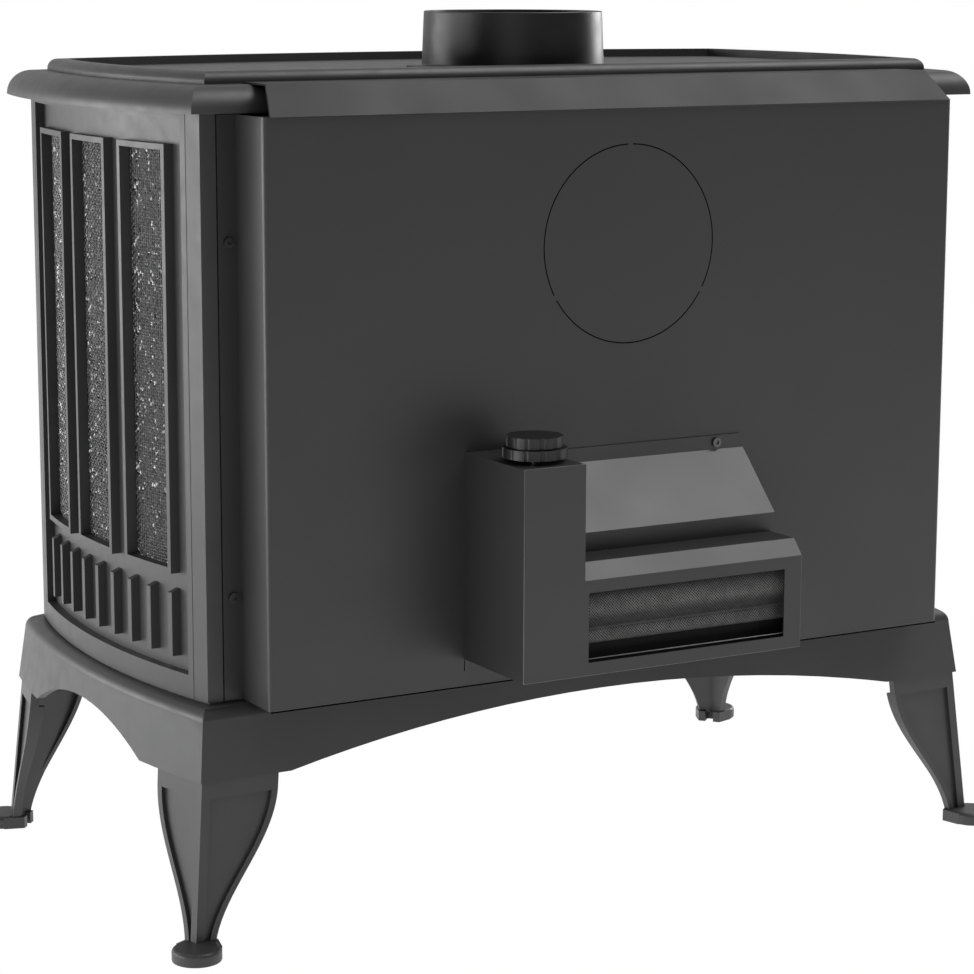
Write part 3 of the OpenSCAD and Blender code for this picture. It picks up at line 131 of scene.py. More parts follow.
def map_range(tree, source, start, end, low=0.0, high=1.0):
    """Low at start, high at end and clamped between them."""
    node = tree.nodes.new("ShaderNodeMapRange")
    node.inputs["From Min"].default_value = start
    node.inputs["From Max"].default_value = end
    node.inputs["To Min"].default_value = low
    node.inputs["To Max"].default_value = high
    tree.links.new(source, node.inputs["Value"])
    return node.outputs["Result"]


def axis(tree, vector, name):
    """One axis of a vector socket."""
    axes = tree.nodes.new("ShaderNodeSeparateXYZ")
    tree.links.new(vector, axes.inputs["Vector"])
    return axes.outputs[name]


def part_place(tree, kind="POINT", shift=(0, 0, 0), scale=(1, 1, 1)):
    """The shaded place in the part's own metres, mapped."""
    coords = tree.nodes.new("ShaderNodeTexCoord")
    mapping = tree.nodes.new("ShaderNodeMapping")
    mapping.vector_type = kind
    mapping.inputs["Location"].default_value = shift
    mapping.inputs["Scale"].default_value = scale
    tree.links.new(coords.outputs["Object"], mapping.inputs["Vector"])
    return mapping.outputs["Vector"]


def noise(tree, scale, detail=2.0, roughness=0.5, stretch=(1, 1, 1)):
    """Noise in the part's own metres; scale is in cells per metre."""
    texture = tree.nodes.new("ShaderNodeTexNoise")
    texture.inputs["Scale"].default_value = scale
    texture.inputs["Detail"].default_value = detail
    texture.inputs["Roughness"].default_value = roughness
    tree.links.new(part_place(tree, scale=stretch), texture.inputs["Vector"])
    return texture.outputs["Fac"]


def spread(tree, source, low, high):
    """Noise, which keeps mostly within its span, made to run from low to high."""
    return map_range(tree, source, *NOISE_SPAN, low, high)


def ramp(tree, source, stops):
    """Colour ramp through (position, colour) stops."""
    node = tree.nodes.new("ShaderNodeValToRGB")
    points = node.color_ramp.elements
    while len(points) < len(stops):
        points.new(0.5)
    for point, (place, colour) in zip(points, stops):
        point.position = place
        point.color = (*colour, 1)
    tree.links.new(source, node.inputs["Fac"])
    return node.outputs["Color"]


def level_ramp(tree, source, stops):
    """Ramp of plain levels through (position, level) stops."""
    return ramp(tree, source, [(place, (level,) * 3) for place, level in stops])


def grey(level):
    """A neutral grey with a breath of blue."""
    return (level, level, level * 1.01)


def mottled(tree, source, level, dark, pale):
    """Grey that follows a noise, between a dark and a pale share of its level."""
    low, high = NOISE_SPAN
    return ramp(tree, source, [(low, grey(level * dark)), (high, grey(level * pale))])


def add_bump(tree, shader, heights):
    """Bumps one on another, each a (height, strength, depth in metres)."""
    last = None
    for height, strength, depth in heights:
        bump = tree.nodes.new("ShaderNodeBump")
        bump.inputs["Strength"].default_value = strength
        bump.inputs["Distance"].default_value = depth
        tree.links.new(height, bump.inputs["Height"])
        if last:
            tree.links.new(last, bump.inputs["Normal"])
        last = bump.outputs["Normal"]
    tree.links.new(last, shader.inputs["Normal"])


def split_by_camera(tree, unseen, seen, output):
    """One shader for the camera's own rays and another for the light on the stove."""
    path = tree.nodes.new("ShaderNodeLightPath")
    mix = tree.nodes.new("ShaderNodeMixShader")
    tree.links.new(path.outputs["Is Camera Ray"], mix.inputs["Fac"])
    tree.links.new(unseen, mix.inputs[1])
    tree.links.new(seen, mix.inputs[2])
    tree.links.new(mix.outputs["Shader"], output.inputs["Surface"])


# Light and floor
WHITE = (1, 1, 1, 1)
FRONT_FILL = 0.57
TOP_FILL = 0.62
FLOOR_HALF = 9
FLOOR_COLOUR = (0.35, 0.35, 0.35, 1)
FLOOR_ROUGHNESS = 0.9
FLOOR_GLOW = 0.8

# Each light's name, place, target, width and height, and watts
LIGHTS = [
    ("key", (3.2, -3.0, 0.65), (0.2, 0, 0.4), (2.6, 1.3), 55),
    ("side", (4.2, -0.6, 0.2), (0.2, 0, 0.15), (2.6, 1.0), 90),
    ("top", (-1.6, 0.8, 3.3), (0, 0.1, 0.4), (2.4, 2.0), 58),
    ("rim", (-3.2, -1.0, 1.2), (0, 0.1, 0.5), (1.6, 1.6), 56),
    ("rear", (2.5, 4.0, 1.4), (0, 0.1, 0.4), (3.0, 2.4), 10),
]


def add_area_light(name, place, target, size, watts):
    """A rectangular light that faces its target."""
    data = bpy.data.lights.new(name, "AREA")
    data.shape = "RECTANGLE"
    data.size, data.size_y = size
    data.energy = watts
    light = bpy.data.objects.new(name, data)
    place, target = Vector(place), Vector(target)
    light.location = place
    light.rotation_euler = (target - place).to_track_quat("-Z", "Y").to_euler()
    bpy.context.scene.collection.objects.link(light)


def one_sided_fill(tree, component, strength):
    """Light from one side of the world, which fades with the square of the direction's component."""
    share = math_node(tree, "MAXIMUM", component, 0.0)
    return math_node(tree, "MULTIPLY", math_node(tree, "MULTIPLY", share, share), strength)


def add_world():
    """White to the camera; on the stove, soft light from above and from the front."""
    world = bpy.data.worlds.new("studio")
    bpy.context.scene.world = world
    world.use_nodes = True
    tree = world.node_tree
    seen = tree.nodes["Background"]
    seen.inputs["Color"].default_value = WHITE
    seen.inputs["Strength"].default_value = 1.0
    direction = tree.nodes.new("ShaderNodeTexCoord").outputs["Generated"]
    to_front = math_node(tree, "MULTIPLY", axis(tree, direction, "Y"), -1.0)
    front = one_sided_fill(tree, to_front, FRONT_FILL)
    above = one_sided_fill(tree, axis(tree, direction, "Z"), TOP_FILL)
    fill = tree.nodes.new("ShaderNodeBackground")
    fill.inputs["Color"].default_value = WHITE
    tree.links.new(math_node(tree, "ADD", front, above), fill.inputs["Strength"])
    split_by_camera(tree, fill.outputs["Background"], seen.outputs["Background"], tree.nodes["World Output"])


def add_floor():
    """White to the camera; to the stove, a pale floor that lights it from below."""
    half = FLOOR_HALF
    mesh = bpy.data.meshes.new("floor")
    corners = [(-half, -half, 0), (half, -half, 0), (half, half, 0), (-half, half, 0)]
    mesh.from_pydata(corners, [], [(0, 1, 2, 3)])
    floor = bpy.data.objects.new("floor", mesh)
    bpy.context.scene.collection.objects.link(floor)
    mat, tree, shader = new_material("floor_white")
    shader.inputs["Base Color"].default_value = FLOOR_COLOUR
    shader.inputs["Roughness"].default_value = FLOOR_ROUGHNESS
    shader.inputs["Emission Color"].default_value = WHITE
    shader.inputs["Emission Strength"].default_value = FLOOR_GLOW
    seen = tree.nodes.new("ShaderNodeEmission")
    seen.inputs["Color"].default_value = WHITE
    seen.inputs["Strength"].default_value = 1.0
    split_by_camera(tree, shader.outputs["BSDF"], seen.outputs["Emission"], tree.nodes["Material Output"])
    mesh.materials.append(mat)


def add_stage():
    """World, lights, floor and plain colours, as the photo's white background has them."""
    add_world()
    for light in LIGHTS:
        add_area_light(*light)
    add_floor()
    settings = bpy.context.scene.view_settings
    settings.view_transform = "Standard"
    settings.look = "None"


# Materials
EDGE_MASK = "softened_edge"
# Painted highlight: how many times paler than the coat the softened edges of cast iron are painted
EDGE_HIGHLIGHT_SHARE = 1.5

# Where a mix node has its two colours and its mixed colour
MIX_FIRST, MIX_SECOND, MIX_RESULT = 6, 7, 2

# How far a sheet's face looks up where its painted sheen starts, is full, starts to fade and has ended
SLOPE_SPAN = (0.1, 0.3, 0.9, 0.97)

# Foot of the intake's window above the housing's foot, and the window's height
WINDOW_FOOT = 11 * MM
WINDOW_HEIGHT = 61 * MM

# Painted light and shade of the intake mesh's folds: what is left of its colour, from the window's foot up to
# its head
FOLD_LIGHT_AND_SHADE = [(0.16, 0.5), (0.22, 1), (0.36, 0.9), (0.44, 0.22), (0.56, 0.35), (0.68, 1), (0.84, 0.8), (0.94, 0.2)]

# Cells among which the weave's lit knots are drawn, and the way from a knot to its shade
KNOT_CELL = (2.9 * MM, 2.9 * MM, 3.9 * MM)
KNOT_SHADE_SHIFT = (0, -1.6 * MM, -2.2 * MM)
KNOT_BRIGHTNESS = 0.95


def painted_edge_highlight(tree, colour, level):
    """The coat, painted to another level on softened edges: a painted highlight."""
    edge = tree.nodes.new("ShaderNodeAttribute")
    edge.attribute_name = EDGE_MASK
    mix = tree.nodes.new("ShaderNodeMix")
    mix.data_type = "RGBA"
    tree.links.new(edge.outputs["Fac"], mix.inputs["Factor"])
    tree.links.new(colour, mix.inputs[MIX_FIRST])
    mix.inputs[MIX_SECOND].default_value = (*grey(level), 1)
    return mix.outputs[MIX_RESULT]


def painted_iron(name, level, rough, grain=0.1, swell=0.015):
    """Satin stove paint over a cast face, with fine sand grain, a slow swell and a painted highlight on its
    softened edges.
    """
    mat, tree, shader = new_material(name)
    coat = mottled(tree, noise(tree, 9, detail=4), level, 0.9, 1.12)
    tree.links.new(painted_edge_highlight(tree, coat, level * EDGE_HIGHLIGHT_SHARE), shader.inputs["Base Color"])
    gloss = spread(tree, noise(tree, 60, detail=3), rough - 0.04, rough + 0.05)
    tree.links.new(gloss, shader.inputs["Roughness"])
    grains = noise(tree, 900, detail=3, roughness=0.6)
    swells = noise(tree, 30)
    add_bump(tree, shader, [(swells, swell, 1.5 * MM), (grains, grain, 0.25 * MM)])
    return mat


def painted_sheet(name, level, rough, slope=1.0):
    """Smooth satin coat on folded sheet, paler by a factor on slopes that look partly up: a painted sheen of
    light from above.
    """
    mat, tree, shader = new_material(name)
    coat = mottled(tree, noise(tree, 4, detail=3), level, 0.94, 1.07)
    facing = tree.nodes.new("ShaderNodeNewGeometry")
    up = axis(tree, facing.outputs["True Normal"], "Z")
    slope_sheen = level_ramp(tree, up, zip(SLOPE_SPAN, (1, slope, slope, 1)))
    product = tree.nodes.new("ShaderNodeVectorMath")
    product.operation = "MULTIPLY"
    tree.links.new(coat, product.inputs[0])
    tree.links.new(slope_sheen, product.inputs[1])
    tree.links.new(product.outputs["Vector"], shader.inputs["Base Color"])
    gloss = spread(tree, noise(tree, 14, detail=4), rough - 0.03, rough + 0.04)
    tree.links.new(gloss, shader.inputs["Roughness"])
    add_bump(tree, shader, [(noise(tree, 1300), 0.05, 0.1 * MM)])
    return mat


def moulded_black(name, level, rough):
    """Close-grained black grips and knobs."""
    mat, tree, shader = new_material(name)
    specks = noise(tree, 240, detail=3)
    colour = ramp(tree, specks, [(0.35, grey(level * 0.8)), (0.65, grey(level * 1.25))])
    tree.links.new(colour, shader.inputs["Base Color"])
    gloss = spread(tree, noise(tree, 90), rough - 0.04, rough + 0.06)
    tree.links.new(gloss, shader.inputs["Roughness"])
    add_bump(tree, shader, [(noise(tree, 1600), 0.08, 0.1 * MM)])
    return mat


def plain_steel(name, level, rough):
    """Bare or zinc-dulled steel with faint marks."""
    mat, tree, shader = new_material(name)
    shader.inputs["Metallic"].default_value = 1.0
    marks = noise(tree, 300, detail=3, roughness=0.6)
    tree.links.new(mottled(tree, marks, level, 0.8, 1.15), shader.inputs["Base Color"])
    tree.links.new(spread(tree, marks, rough - 0.06, rough + 0.1), shader.inputs["Roughness"])
    add_bump(tree, shader, [(marks, 0.12, 0.1 * MM)])
    return mat


def lit_knots(tree, shift):
    """Scattered knots of the weave, in loose rows; shift moves them, in metres."""
    knots = tree.nodes.new("ShaderNodeTexVoronoi")
    knots.inputs["Scale"].default_value = 1.0
    knots.inputs["Randomness"].default_value = 0.8
    tree.links.new(part_place(tree, "TEXTURE", shift, KNOT_CELL), knots.inputs["Vector"])
    dice = tree.nodes.new("ShaderNodeSeparateColor")
    tree.links.new(knots.outputs["Color"], dice.inputs["Color"])
    rows = spread(tree, noise(tree, 42, roughness=0.6, stretch=(1, 1, 2.2)), 0, 1)
    odds = math_node(tree, "ADD", dice.outputs["Red"], math_node(tree, "MULTIPLY", rows, 0.5))
    chosen = map_range(tree, odds, 1.02, 1.12)
    dot = map_range(tree, knots.outputs["Distance"], 0.55, 0.3)
    return math_node(tree, "MULTIPLY", chosen, dot)


def glinting_wire(name, level, rough):
    """Grey wire with painted glints: here and there a knot of the weave is painted bright, with a painted
    shadow beside it.
    """
    mat, tree, shader = new_material(name)
    spark = lit_knots(tree, (0, 0, 0))
    shade = lit_knots(tree, KNOT_SHADE_SHIFT)
    wire = spread(tree, noise(tree, 300), level * 0.6, level * 1.5)
    wire = math_node(tree, "MULTIPLY", wire, map_range(tree, shade, 1.1, 0))
    glint = math_node(tree, "MULTIPLY", spark, KNOT_BRIGHTNESS)
    tree.links.new(math_node(tree, "MAXIMUM", wire, glint), shader.inputs["Base Color"])
    shader.inputs["Roughness"].default_value = rough
    tree.links.new(map_range(tree, spark, 1, 0), shader.inputs["Metallic"])
    return mat


def fold_shaded_mesh(name, level, rough):
    """Dull fine lattice, paler and darker in bands up its height: the painted light and shade of its folds.
    """
    mat, tree, shader = new_material(name)
    shade = spread(tree, noise(tree, 120, detail=3), level * 0.8, level * 1.25)
    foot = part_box("air_housing")[0].z + WINDOW_FOOT
    height = axis(tree, part_place(tree), "Z")
    bands = level_ramp(tree, map_range(tree, height, foot, foot + WINDOW_HEIGHT), FOLD_LIGHT_AND_SHADE)
    tree.links.new(math_node(tree, "MULTIPLY", shade, bands), shader.inputs["Base Color"])
    shader.inputs["Roughness"].default_value = rough
    add_bump(tree, shader, [(noise(tree, 900), 0.2, 0.1 * MM)])
    return mat


def matt_sheet(name, level, rough):
    """Dull sheet or wire."""
    mat, tree, shader = new_material(name)
    shade = spread(tree, noise(tree, 120, detail=3), level * 0.75, level * 1.3)
    tree.links.new(shade, shader.inputs["Base Color"])
    shader.inputs["Roughness"].default_value = rough
    add_bump(tree, shader, [(noise(tree, 900), 0.2, 0.1 * MM)])
    return mat


def dark_gap(name):
    """Painted shade: the black of a narrow gap, from which no light comes back, given to beads set in the
    gap.
    """
    mat, _, shader = new_material(name)
    shader.inputs["Base Color"].default_value = (0.002, 0.002, 0.002, 1)
    shader.inputs["Roughness"].default_value = 1.0
    shader.inputs["Specular IOR Level"].default_value = 0.0
    return mat


def firebrick(name):
    """Pale, rough and crumbly brick."""
    mat, tree, shader = new_material(name)
    body = noise(tree, 35, detail=6, roughness=0.65)
    colour = ramp(tree, body, [(0.3, (0.36, 0.27, 0.17)), (0.5, (0.52, 0.42, 0.29)), (0.7, (0.6, 0.52, 0.4))])
    tree.links.new(colour, shader.inputs["Base Color"])
    shader.inputs["Roughness"].default_value = 0.92
    crumbs = noise(tree, 500, detail=4, roughness=0.7)
    add_bump(tree, shader, [(body, 0.5, 1.2 * MM), (crumbs, 0.5, 0.5 * MM)])
    return mat


def braided_rope(name, level):
    """Glass-fibre rope with fine, uneven strands."""
    mat, tree, shader = new_material(name)
    strands = noise(tree, 420, detail=3, roughness=0.6)
    tree.links.new(mottled(tree, strands, level, 0.55, 1.2), shader.inputs["Base Color"])
    shader.inputs["Roughness"].default_value = 0.95
    add_bump(tree, shader, [(strands, 0.8, 0.6 * MM)])
    return mat


def fire_glass(name):
    """Clear ceramic glass with a smoky tint."""
    mat, _, shader = new_material(name)
    shader.inputs["Base Color"].default_value = (0.5, 0.48, 0.46, 1)
    shader.inputs["Roughness"].default_value = 0.03
    shader.inputs["Transmission Weight"].default_value = 1.0
    shader.inputs["IOR"].default_value = 1.5
    return mat


def make_materials():
    """Every material by name; most are told their grey level and their roughness."""
    return {
        "black_iron": painted_iron("black_iron", 0.045, 0.42),
        "bare_iron": painted_iron("bare_iron", 0.06, 0.6, grain=0.3, swell=0.1),
        "collar_iron": painted_iron("collar_iron", 0.012, 0.36, grain=0.05, swell=0.02),
        "shield_paint": painted_sheet("shield_paint", 0.032, 0.4),
        "visor_paint": painted_sheet("visor_paint", 0.012, 0.54),
        # Hood and housing: a painted sheen on their slopes that look up
        "hood_paint": painted_sheet("hood_paint", 0.035, 0.4, slope=2.5),
        "housing_paint": painted_sheet("housing_paint", 0.03, 0.4, slope=2.7),
        # Pale paint on beads along folds: painted highlight
        "edge_highlight_paint": painted_sheet("edge_highlight_paint", 0.16, 0.35),
        "sheet_steel": painted_sheet("sheet_steel", 0.055, 0.42),
        "woven_mesh": glinting_wire("woven_mesh", 0.12, 0.45),
        "punched_mesh": fold_shaded_mesh("punched_mesh", 0.3, 0.5),
        # Pale grey on the hem wire, so that it shows as a lit line: painted highlight
        "hem_wire": matt_sheet("hem_wire", 0.35, 0.4),
        # Near-black for sheets set where the intake shows only shade: painted shade
        "shade_sheet": matt_sheet("shade_sheet", 0.006, 0.8),
        "dark_gap": dark_gap("dark_gap"),
        "plain_steel": plain_steel("plain_steel", 0.45, 0.35),
        "dark_screws": plain_steel("dark_screws", 0.12, 0.3),
        "firebrick": firebrick("firebrick"),
        "rope": braided_rope("rope", 0.35),
        "fire_glass": fire_glass("fire_glass"),
        "black_grip": moulded_black("black_grip", 0.009, 0.42),
    }


# Pieces whose material differs from their slot's usual one: the hood and housing with a painted sheen on
# their upward slopes, the visor in a darker grey
OWN_MATERIALS = {"shield_visor": "visor_paint", "air_hood": "hood_paint", "air_housing": "housing_paint"}


def dress_nodes(materials):
    """Gives each solid its slot's material or its own material."""
    for part in frame["record"]["subparts"]:
        name = part["node"]
        for slot in NODES[name].material_slots:
            slot.material = materials[OWN_MATERIALS.get(name, part["material_slot"])]


# Width of the softened edges, by material slot; sheet, rope and mesh have none
BEVELS = {
    "black_iron": 1.2 * MM,
    "bare_iron": 1.0 * MM,
    "collar_iron": 1.0 * MM,
    "plain_steel": 0.4 * MM,
    "dark_screws": 0.3 * MM,
    "firebrick": 1.4 * MM,
    "black_grip": 0.7 * MM,
    "fire_glass": 0.5 * MM,
}
BEVEL_STEPS = 2
WELD_DISTANCE = 0.002 * MM
TRUE_NORMAL = "true_normal"

# The turn between two true surfaces from which their edge is softened
FOLD_ANGLE = math.radians(32)

# A face that leans from its stored normal by more than this is part of a softened edge
OWN_FACE_LEAN = math.radians(14)


def node_tree(name):
    """An empty node tree that takes a mesh in and gives one back."""
    tree = bpy.data.node_groups.new(name, "GeometryNodeTree")
    for way in ("INPUT", "OUTPUT"):
        tree.interface.new_socket("Geometry", in_out=way, socket_type="NodeSocketGeometry")
    return tree, tree.nodes.new("NodeGroupInput"), tree.nodes.new("NodeGroupOutput")


def write_node(tree, name, data_type, domain):
    """A node that writes a mesh attribute."""
    node = tree.nodes.new("GeometryNodeStoreNamedAttribute")
    node.data_type = data_type
    node.domain = domain
    node.inputs["Name"].default_value = name
    return node


def compare_node(tree, operation, limit):
    """A node that compares a number with a limit."""
    node = tree.nodes.new("FunctionNodeCompare")
    node.data_type = "FLOAT"
    node.operation = operation
    node.inputs["B"].default_value = limit
    return node


def vector_node(tree, operation):
    """A node that works on vectors."""
    node = tree.nodes.new("ShaderNodeVectorMath")
    node.operation = operation
    return node


def unit_normal(tree):
    """The stored normal, brought back to unit length."""
    stored = tree.nodes.new("GeometryNodeInputNamedAttribute")
    stored.data_type = "FLOAT_VECTOR"
    stored.inputs["Name"].default_value = TRUE_NORMAL
    unit = vector_node(tree, "NORMALIZE")
    tree.links.new(stored.outputs["Attribute"], unit.inputs[0])
    return unit.outputs["Vector"]


def keep_normals():
    """Stores the solids' true surface normals, joins their faces and marks the sharp edges.

    The mean of the unit normals on both sides of an edge is shorter, the more the surface turns there.
    """
    tree, source, result = node_tree("keep_normals")
    normal = tree.nodes.new("GeometryNodeInputNormal")
    store = write_node(tree, TRUE_NORMAL, "FLOAT_VECTOR", "CORNER")
    weld = tree.nodes.new("GeometryNodeMergeByDistance")
    weld.inputs["Distance"].default_value = WELD_DISTANCE
    facing = tree.nodes.new("GeometryNodeFieldOnDomain")
    facing.data_type = "FLOAT_VECTOR"
    facing.domain = "FACE"
    length = vector_node(tree, "LENGTH")
    sharp = compare_node(tree, "LESS_THAN", math.cos(FOLD_ANGLE / 2))
    clear = tree.nodes.new("GeometryNodeSetMeshNormal")
    clear.mode = "SHARPNESS"
    clear.inputs["Remove Custom"].default_value = True
    weight = write_node(tree, "bevel_weight_edge", "FLOAT", "EDGE")
    link = tree.links.new
    link(source.outputs["Geometry"], store.inputs["Geometry"])
    link(normal.outputs["Normal"], store.inputs["Value"])
    link(store.outputs["Geometry"], weld.inputs["Geometry"])
    link(weld.outputs["Geometry"], clear.inputs["Mesh"])
    link(unit_normal(tree), facing.inputs["Value"])
    link(facing.outputs["Value"], length.inputs[0])
    link(length.outputs["Value"], sharp.inputs["A"])
    link(sharp.outputs["Result"], clear.inputs["Edge Sharpness"])
    link(clear.outputs["Mesh"], weight.inputs["Geometry"])
    link(sharp.outputs["Result"], weight.inputs["Value"])
    link(weight.outputs["Geometry"], result.inputs["Geometry"])
    return tree


def return_normals():
    """Gives the stored normals back to every face but the softened edges, and masks those."""
    tree, source, result = node_tree("return_normals")
    stored = unit_normal(tree)
    current = tree.nodes.new("GeometryNodeInputNormal")
    dot = vector_node(tree, "DOT_PRODUCT")
    near = compare_node(tree, "GREATER_THAN", math.cos(OWN_FACE_LEAN))
    pick = tree.nodes.new("GeometryNodeSwitch")
    pick.input_type = "VECTOR"
    write = tree.nodes.new("GeometryNodeSetMeshNormal")
    write.mode = "FREE"
    write.domain = "CORNER"
    rounded = tree.nodes.new("FunctionNodeBooleanMath")
    rounded.operation = "NOT"
    mask = write_node(tree, EDGE_MASK, "FLOAT", "CORNER")
    link = tree.links.new
    link(stored, dot.inputs[0])
    link(current.outputs["True Normal"], dot.inputs[1])
    link(dot.outputs["Value"], near.inputs["A"])
    link(near.outputs["Result"], pick.inputs["Switch"])
    link(current.outputs["Normal"], pick.inputs["False"])
    link(stored, pick.inputs["True"])
    link(source.outputs["Geometry"], write.inputs["Mesh"])
    link(pick.outputs["Output"], write.inputs["Custom Normal"])
    link(near.outputs["Result"], rounded.inputs[0])
    link(write.outputs["Mesh"], mask.inputs["Geometry"])
    link(rounded.outputs["Boolean"], mask.inputs["Value"])
    link(mask.outputs["Geometry"], result.inputs["Geometry"])
    return tree


def soften(node, width, before, after):
    """A rounded edge of this width; faces keep the shading of the true surface."""
    node.modifiers.new("keep_normals", "NODES").node_group = before
    bevel = node.modifiers.new("bevel", "BEVEL")
    bevel.width = width
    bevel.segments = BEVEL_STEPS
    bevel.limit_method = "WEIGHT"
    bevel.miter_outer = "MITER_ARC"
    bevel.harden_normals = True
    node.modifiers.new("return_normals", "NODES").node_group = after


def soften_nodes():
    """Softens the edges of every solid whose slot has a width for them."""
    before, after = keep_normals(), return_normals()
    for part in frame["record"]["subparts"]:
        if part["material_slot"] in BEVELS:
            soften(NODES[part["node"]], BEVELS[part["material_slot"]], before, after)


# Meshes built from code
WIRE_SIDES = 4
BEAD_SIDES = 8
BOX_QUADS = ((0, 1, 3, 2), (4, 6, 7, 5), (0, 4, 5, 1), (2, 3, 7, 6), (0, 2, 6, 4), (1, 5, 7, 3))


class Builder:
    """Gathers vertices and faces, then makes one piece of them."""

    def __init__(self):
        self.points = []
        self.faces = []

    def tube(self, path, sides, radius_a, radius_b):
        """A closed-ended tube; path holds (point, axis a, axis b) frames."""
        start = len(self.points)
        for point, a, b in path:
            for k in range(sides):
                turn = 2 * math.pi * k / sides
                self.points.append(point + a * (radius_a * math.cos(turn)) + b * (radius_b * math.sin(turn)))
        for i in range(len(path) - 1):
            for k in range(sides):
                n = (k + 1) % sides
                low, high = start + i * sides, start + (i + 1) * sides
                self.faces.append((low + k, low + n, high + n, high + k))
        self.faces.append(tuple(start + k for k in reversed(range(sides))))
        last = start + (len(path) - 1) * sides
        self.faces.append(tuple(last + k for k in range(sides)))

    def bead(self, ends, a, b, radius_a, radius_b):
        """A straight bead between two ends."""
        self.tube([(end, a, b) for end in ends], BEAD_SIDES, radius_a, radius_b)

    def box(self, xs, ys, zs):
        """A box between two values on each axis."""
        start = len(self.points)
        self.points += [Vector((x, y, z)) for x in xs for y in ys for z in zs]
        self.faces += [tuple(start + k for k in quad) for quad in BOX_QUADS]

    def piece(self, name, body, material, smooth=True):
        """One object of what was gathered, which rides on a body and stands in a slot."""
        mesh = bpy.data.meshes.new(name)
        mesh.from_pydata(self.points, [], self.faces)
        mesh.materials.append(material)
        mesh.validate()
        if smooth:
            mesh.shade_smooth()
        obj = bpy.data.objects.new(name, mesh)
        bpy.context.scene.collection.objects.link(obj)
        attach(obj, body)
        return obj


# Side screens: pitch of the side windows, half a screen's width, the cloth's depth in it, and the weave
WINDOW_PITCH = 103.5 * MM
SCREEN_HALF = 37.6 * MM
SCREEN_SETBACK = 0.6 * MM
WEAVE_PITCH_U = 3.3 * MM
WEAVE_PITCH_V = 2.7 * MM
WEAVE_WIRE = 0.62 * MM
WEAVE_CRIMP = 0.5 * MM
WEAVE_JITTER = 0.3 * MM


def woven_cloth(build, place, u_range, v_range):
    """Plain weave on a surface: place(u, v) gives a point, its u axis, its v axis and its normal."""
    u0, u1 = u_range
    v0, v1 = v_range
    nu = int((u1 - u0) / WEAVE_PITCH_U)
    nv = int((v1 - v0) / WEAVE_PITCH_V)
    us = [u0 + (i + 0.5) * (u1 - u0) / nu for i in range(nu)]
    vs = [v0 + (j + 0.5) * (v1 - v0) / nv for j in range(nv)]
    drift = random.Random(SEED)

    def shake():
        return (drift.random() - 0.5) * 2 * WEAVE_JITTER

    def sway(point, normal, over):
        """The point, lifted over or under the wire that crosses there, and a little off."""
        lift = WEAVE_CRIMP if over else -WEAVE_CRIMP
        return point + normal * (lift + shake() * 0.4)

    for i, u in enumerate(us):
        path = []
        lean = shake()
        for j, v in enumerate([v0] + vs + [v1]):
            point, along_u, along_v, normal = place(u + lean + shake() * 0.5, v)
            path.append((sway(point, normal, (i + j) % 2), along_u, normal))
        build.tube(path, WIRE_SIDES, WEAVE_WIRE, WEAVE_WIRE)
    for j, v in enumerate(vs):
        path = []
        lean = shake()
        for i, u in enumerate([u0] + us + [u1]):
            point, along_u, along_v, normal = place(u, v + lean + shake() * 0.5)
            path.append((sway(point, normal, not (i + j) % 2), normal, along_v))
        build.tube(path, WIRE_SIDES, WEAVE_WIRE, WEAVE_WIRE)


def side_screen(side, material):
    """The three woven screens of one side, bowed as the panel is."""
    node = "side_screens_right" if side > 0 else "side_screens_left"
    low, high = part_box(node)
    outer = max(abs(low.x), abs(high.x))
    centre_x = BODY_HALF_WIDTH - side_radius()
    surface = outer - centre_x - SCREEN_SETBACK
    mid = middle_y()
    build = Builder()

    def place(y, z):
        turn = math.asin((y - mid) / surface)
        normal = Vector((side * math.cos(turn), math.sin(turn), 0))
        point = Vector((side * centre_x + surface * normal.x, mid + surface * normal.y, z))
        along = Vector((-normal.y * side, math.cos(turn), 0))
        return point, along, Z_AXIS, normal

    for i in (-1, 0, 1):
        y = mid + i * WINDOW_PITCH
        woven_cloth(build, place, (y - SCREEN_HALF, y + SCREEN_HALF), (low.z, high.z))
    screen = build.piece(node.replace("side_screens", "woven_screens"), "stove", material)
    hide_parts(node)


# Intake screen: height of its profile's zero above the housing's foot, and its lattice
PROFILE_FOOT = 27 * MM
LATTICE_PITCH = 2.7 * MM
LATTICE_WIRE = 0.34 * MM
LATTICE_CRIMP = 0.12 * MM

# Each fold's middle behind the housing's face and above the profile's zero, radius, half angle and steps
FOLDS = [(38 * MM, 27 * MM, 26 * MM, 48, 24), (27 * MM, 2 * MM, 8 * MM, 62, 16)]


def screen_profile(back=0.0):
    """Points (y, z) along the intake screen's two soft folds, or a little behind them."""
    housing_low, housing_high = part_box("air_housing")
    zero = housing_low.z + PROFILE_FOOT
    points = []
    for depth, rise, radius, half_angle, steps in FOLDS:
        reach = radius - back
        for k in range(steps + 1):
            turn = math.radians(half_angle - 2 * half_angle * k / steps)
            y = housing_high.y - depth + reach * math.cos(turn)
            z = zero + rise + reach * math.sin(turn)
            points.append((y, z))
    return points


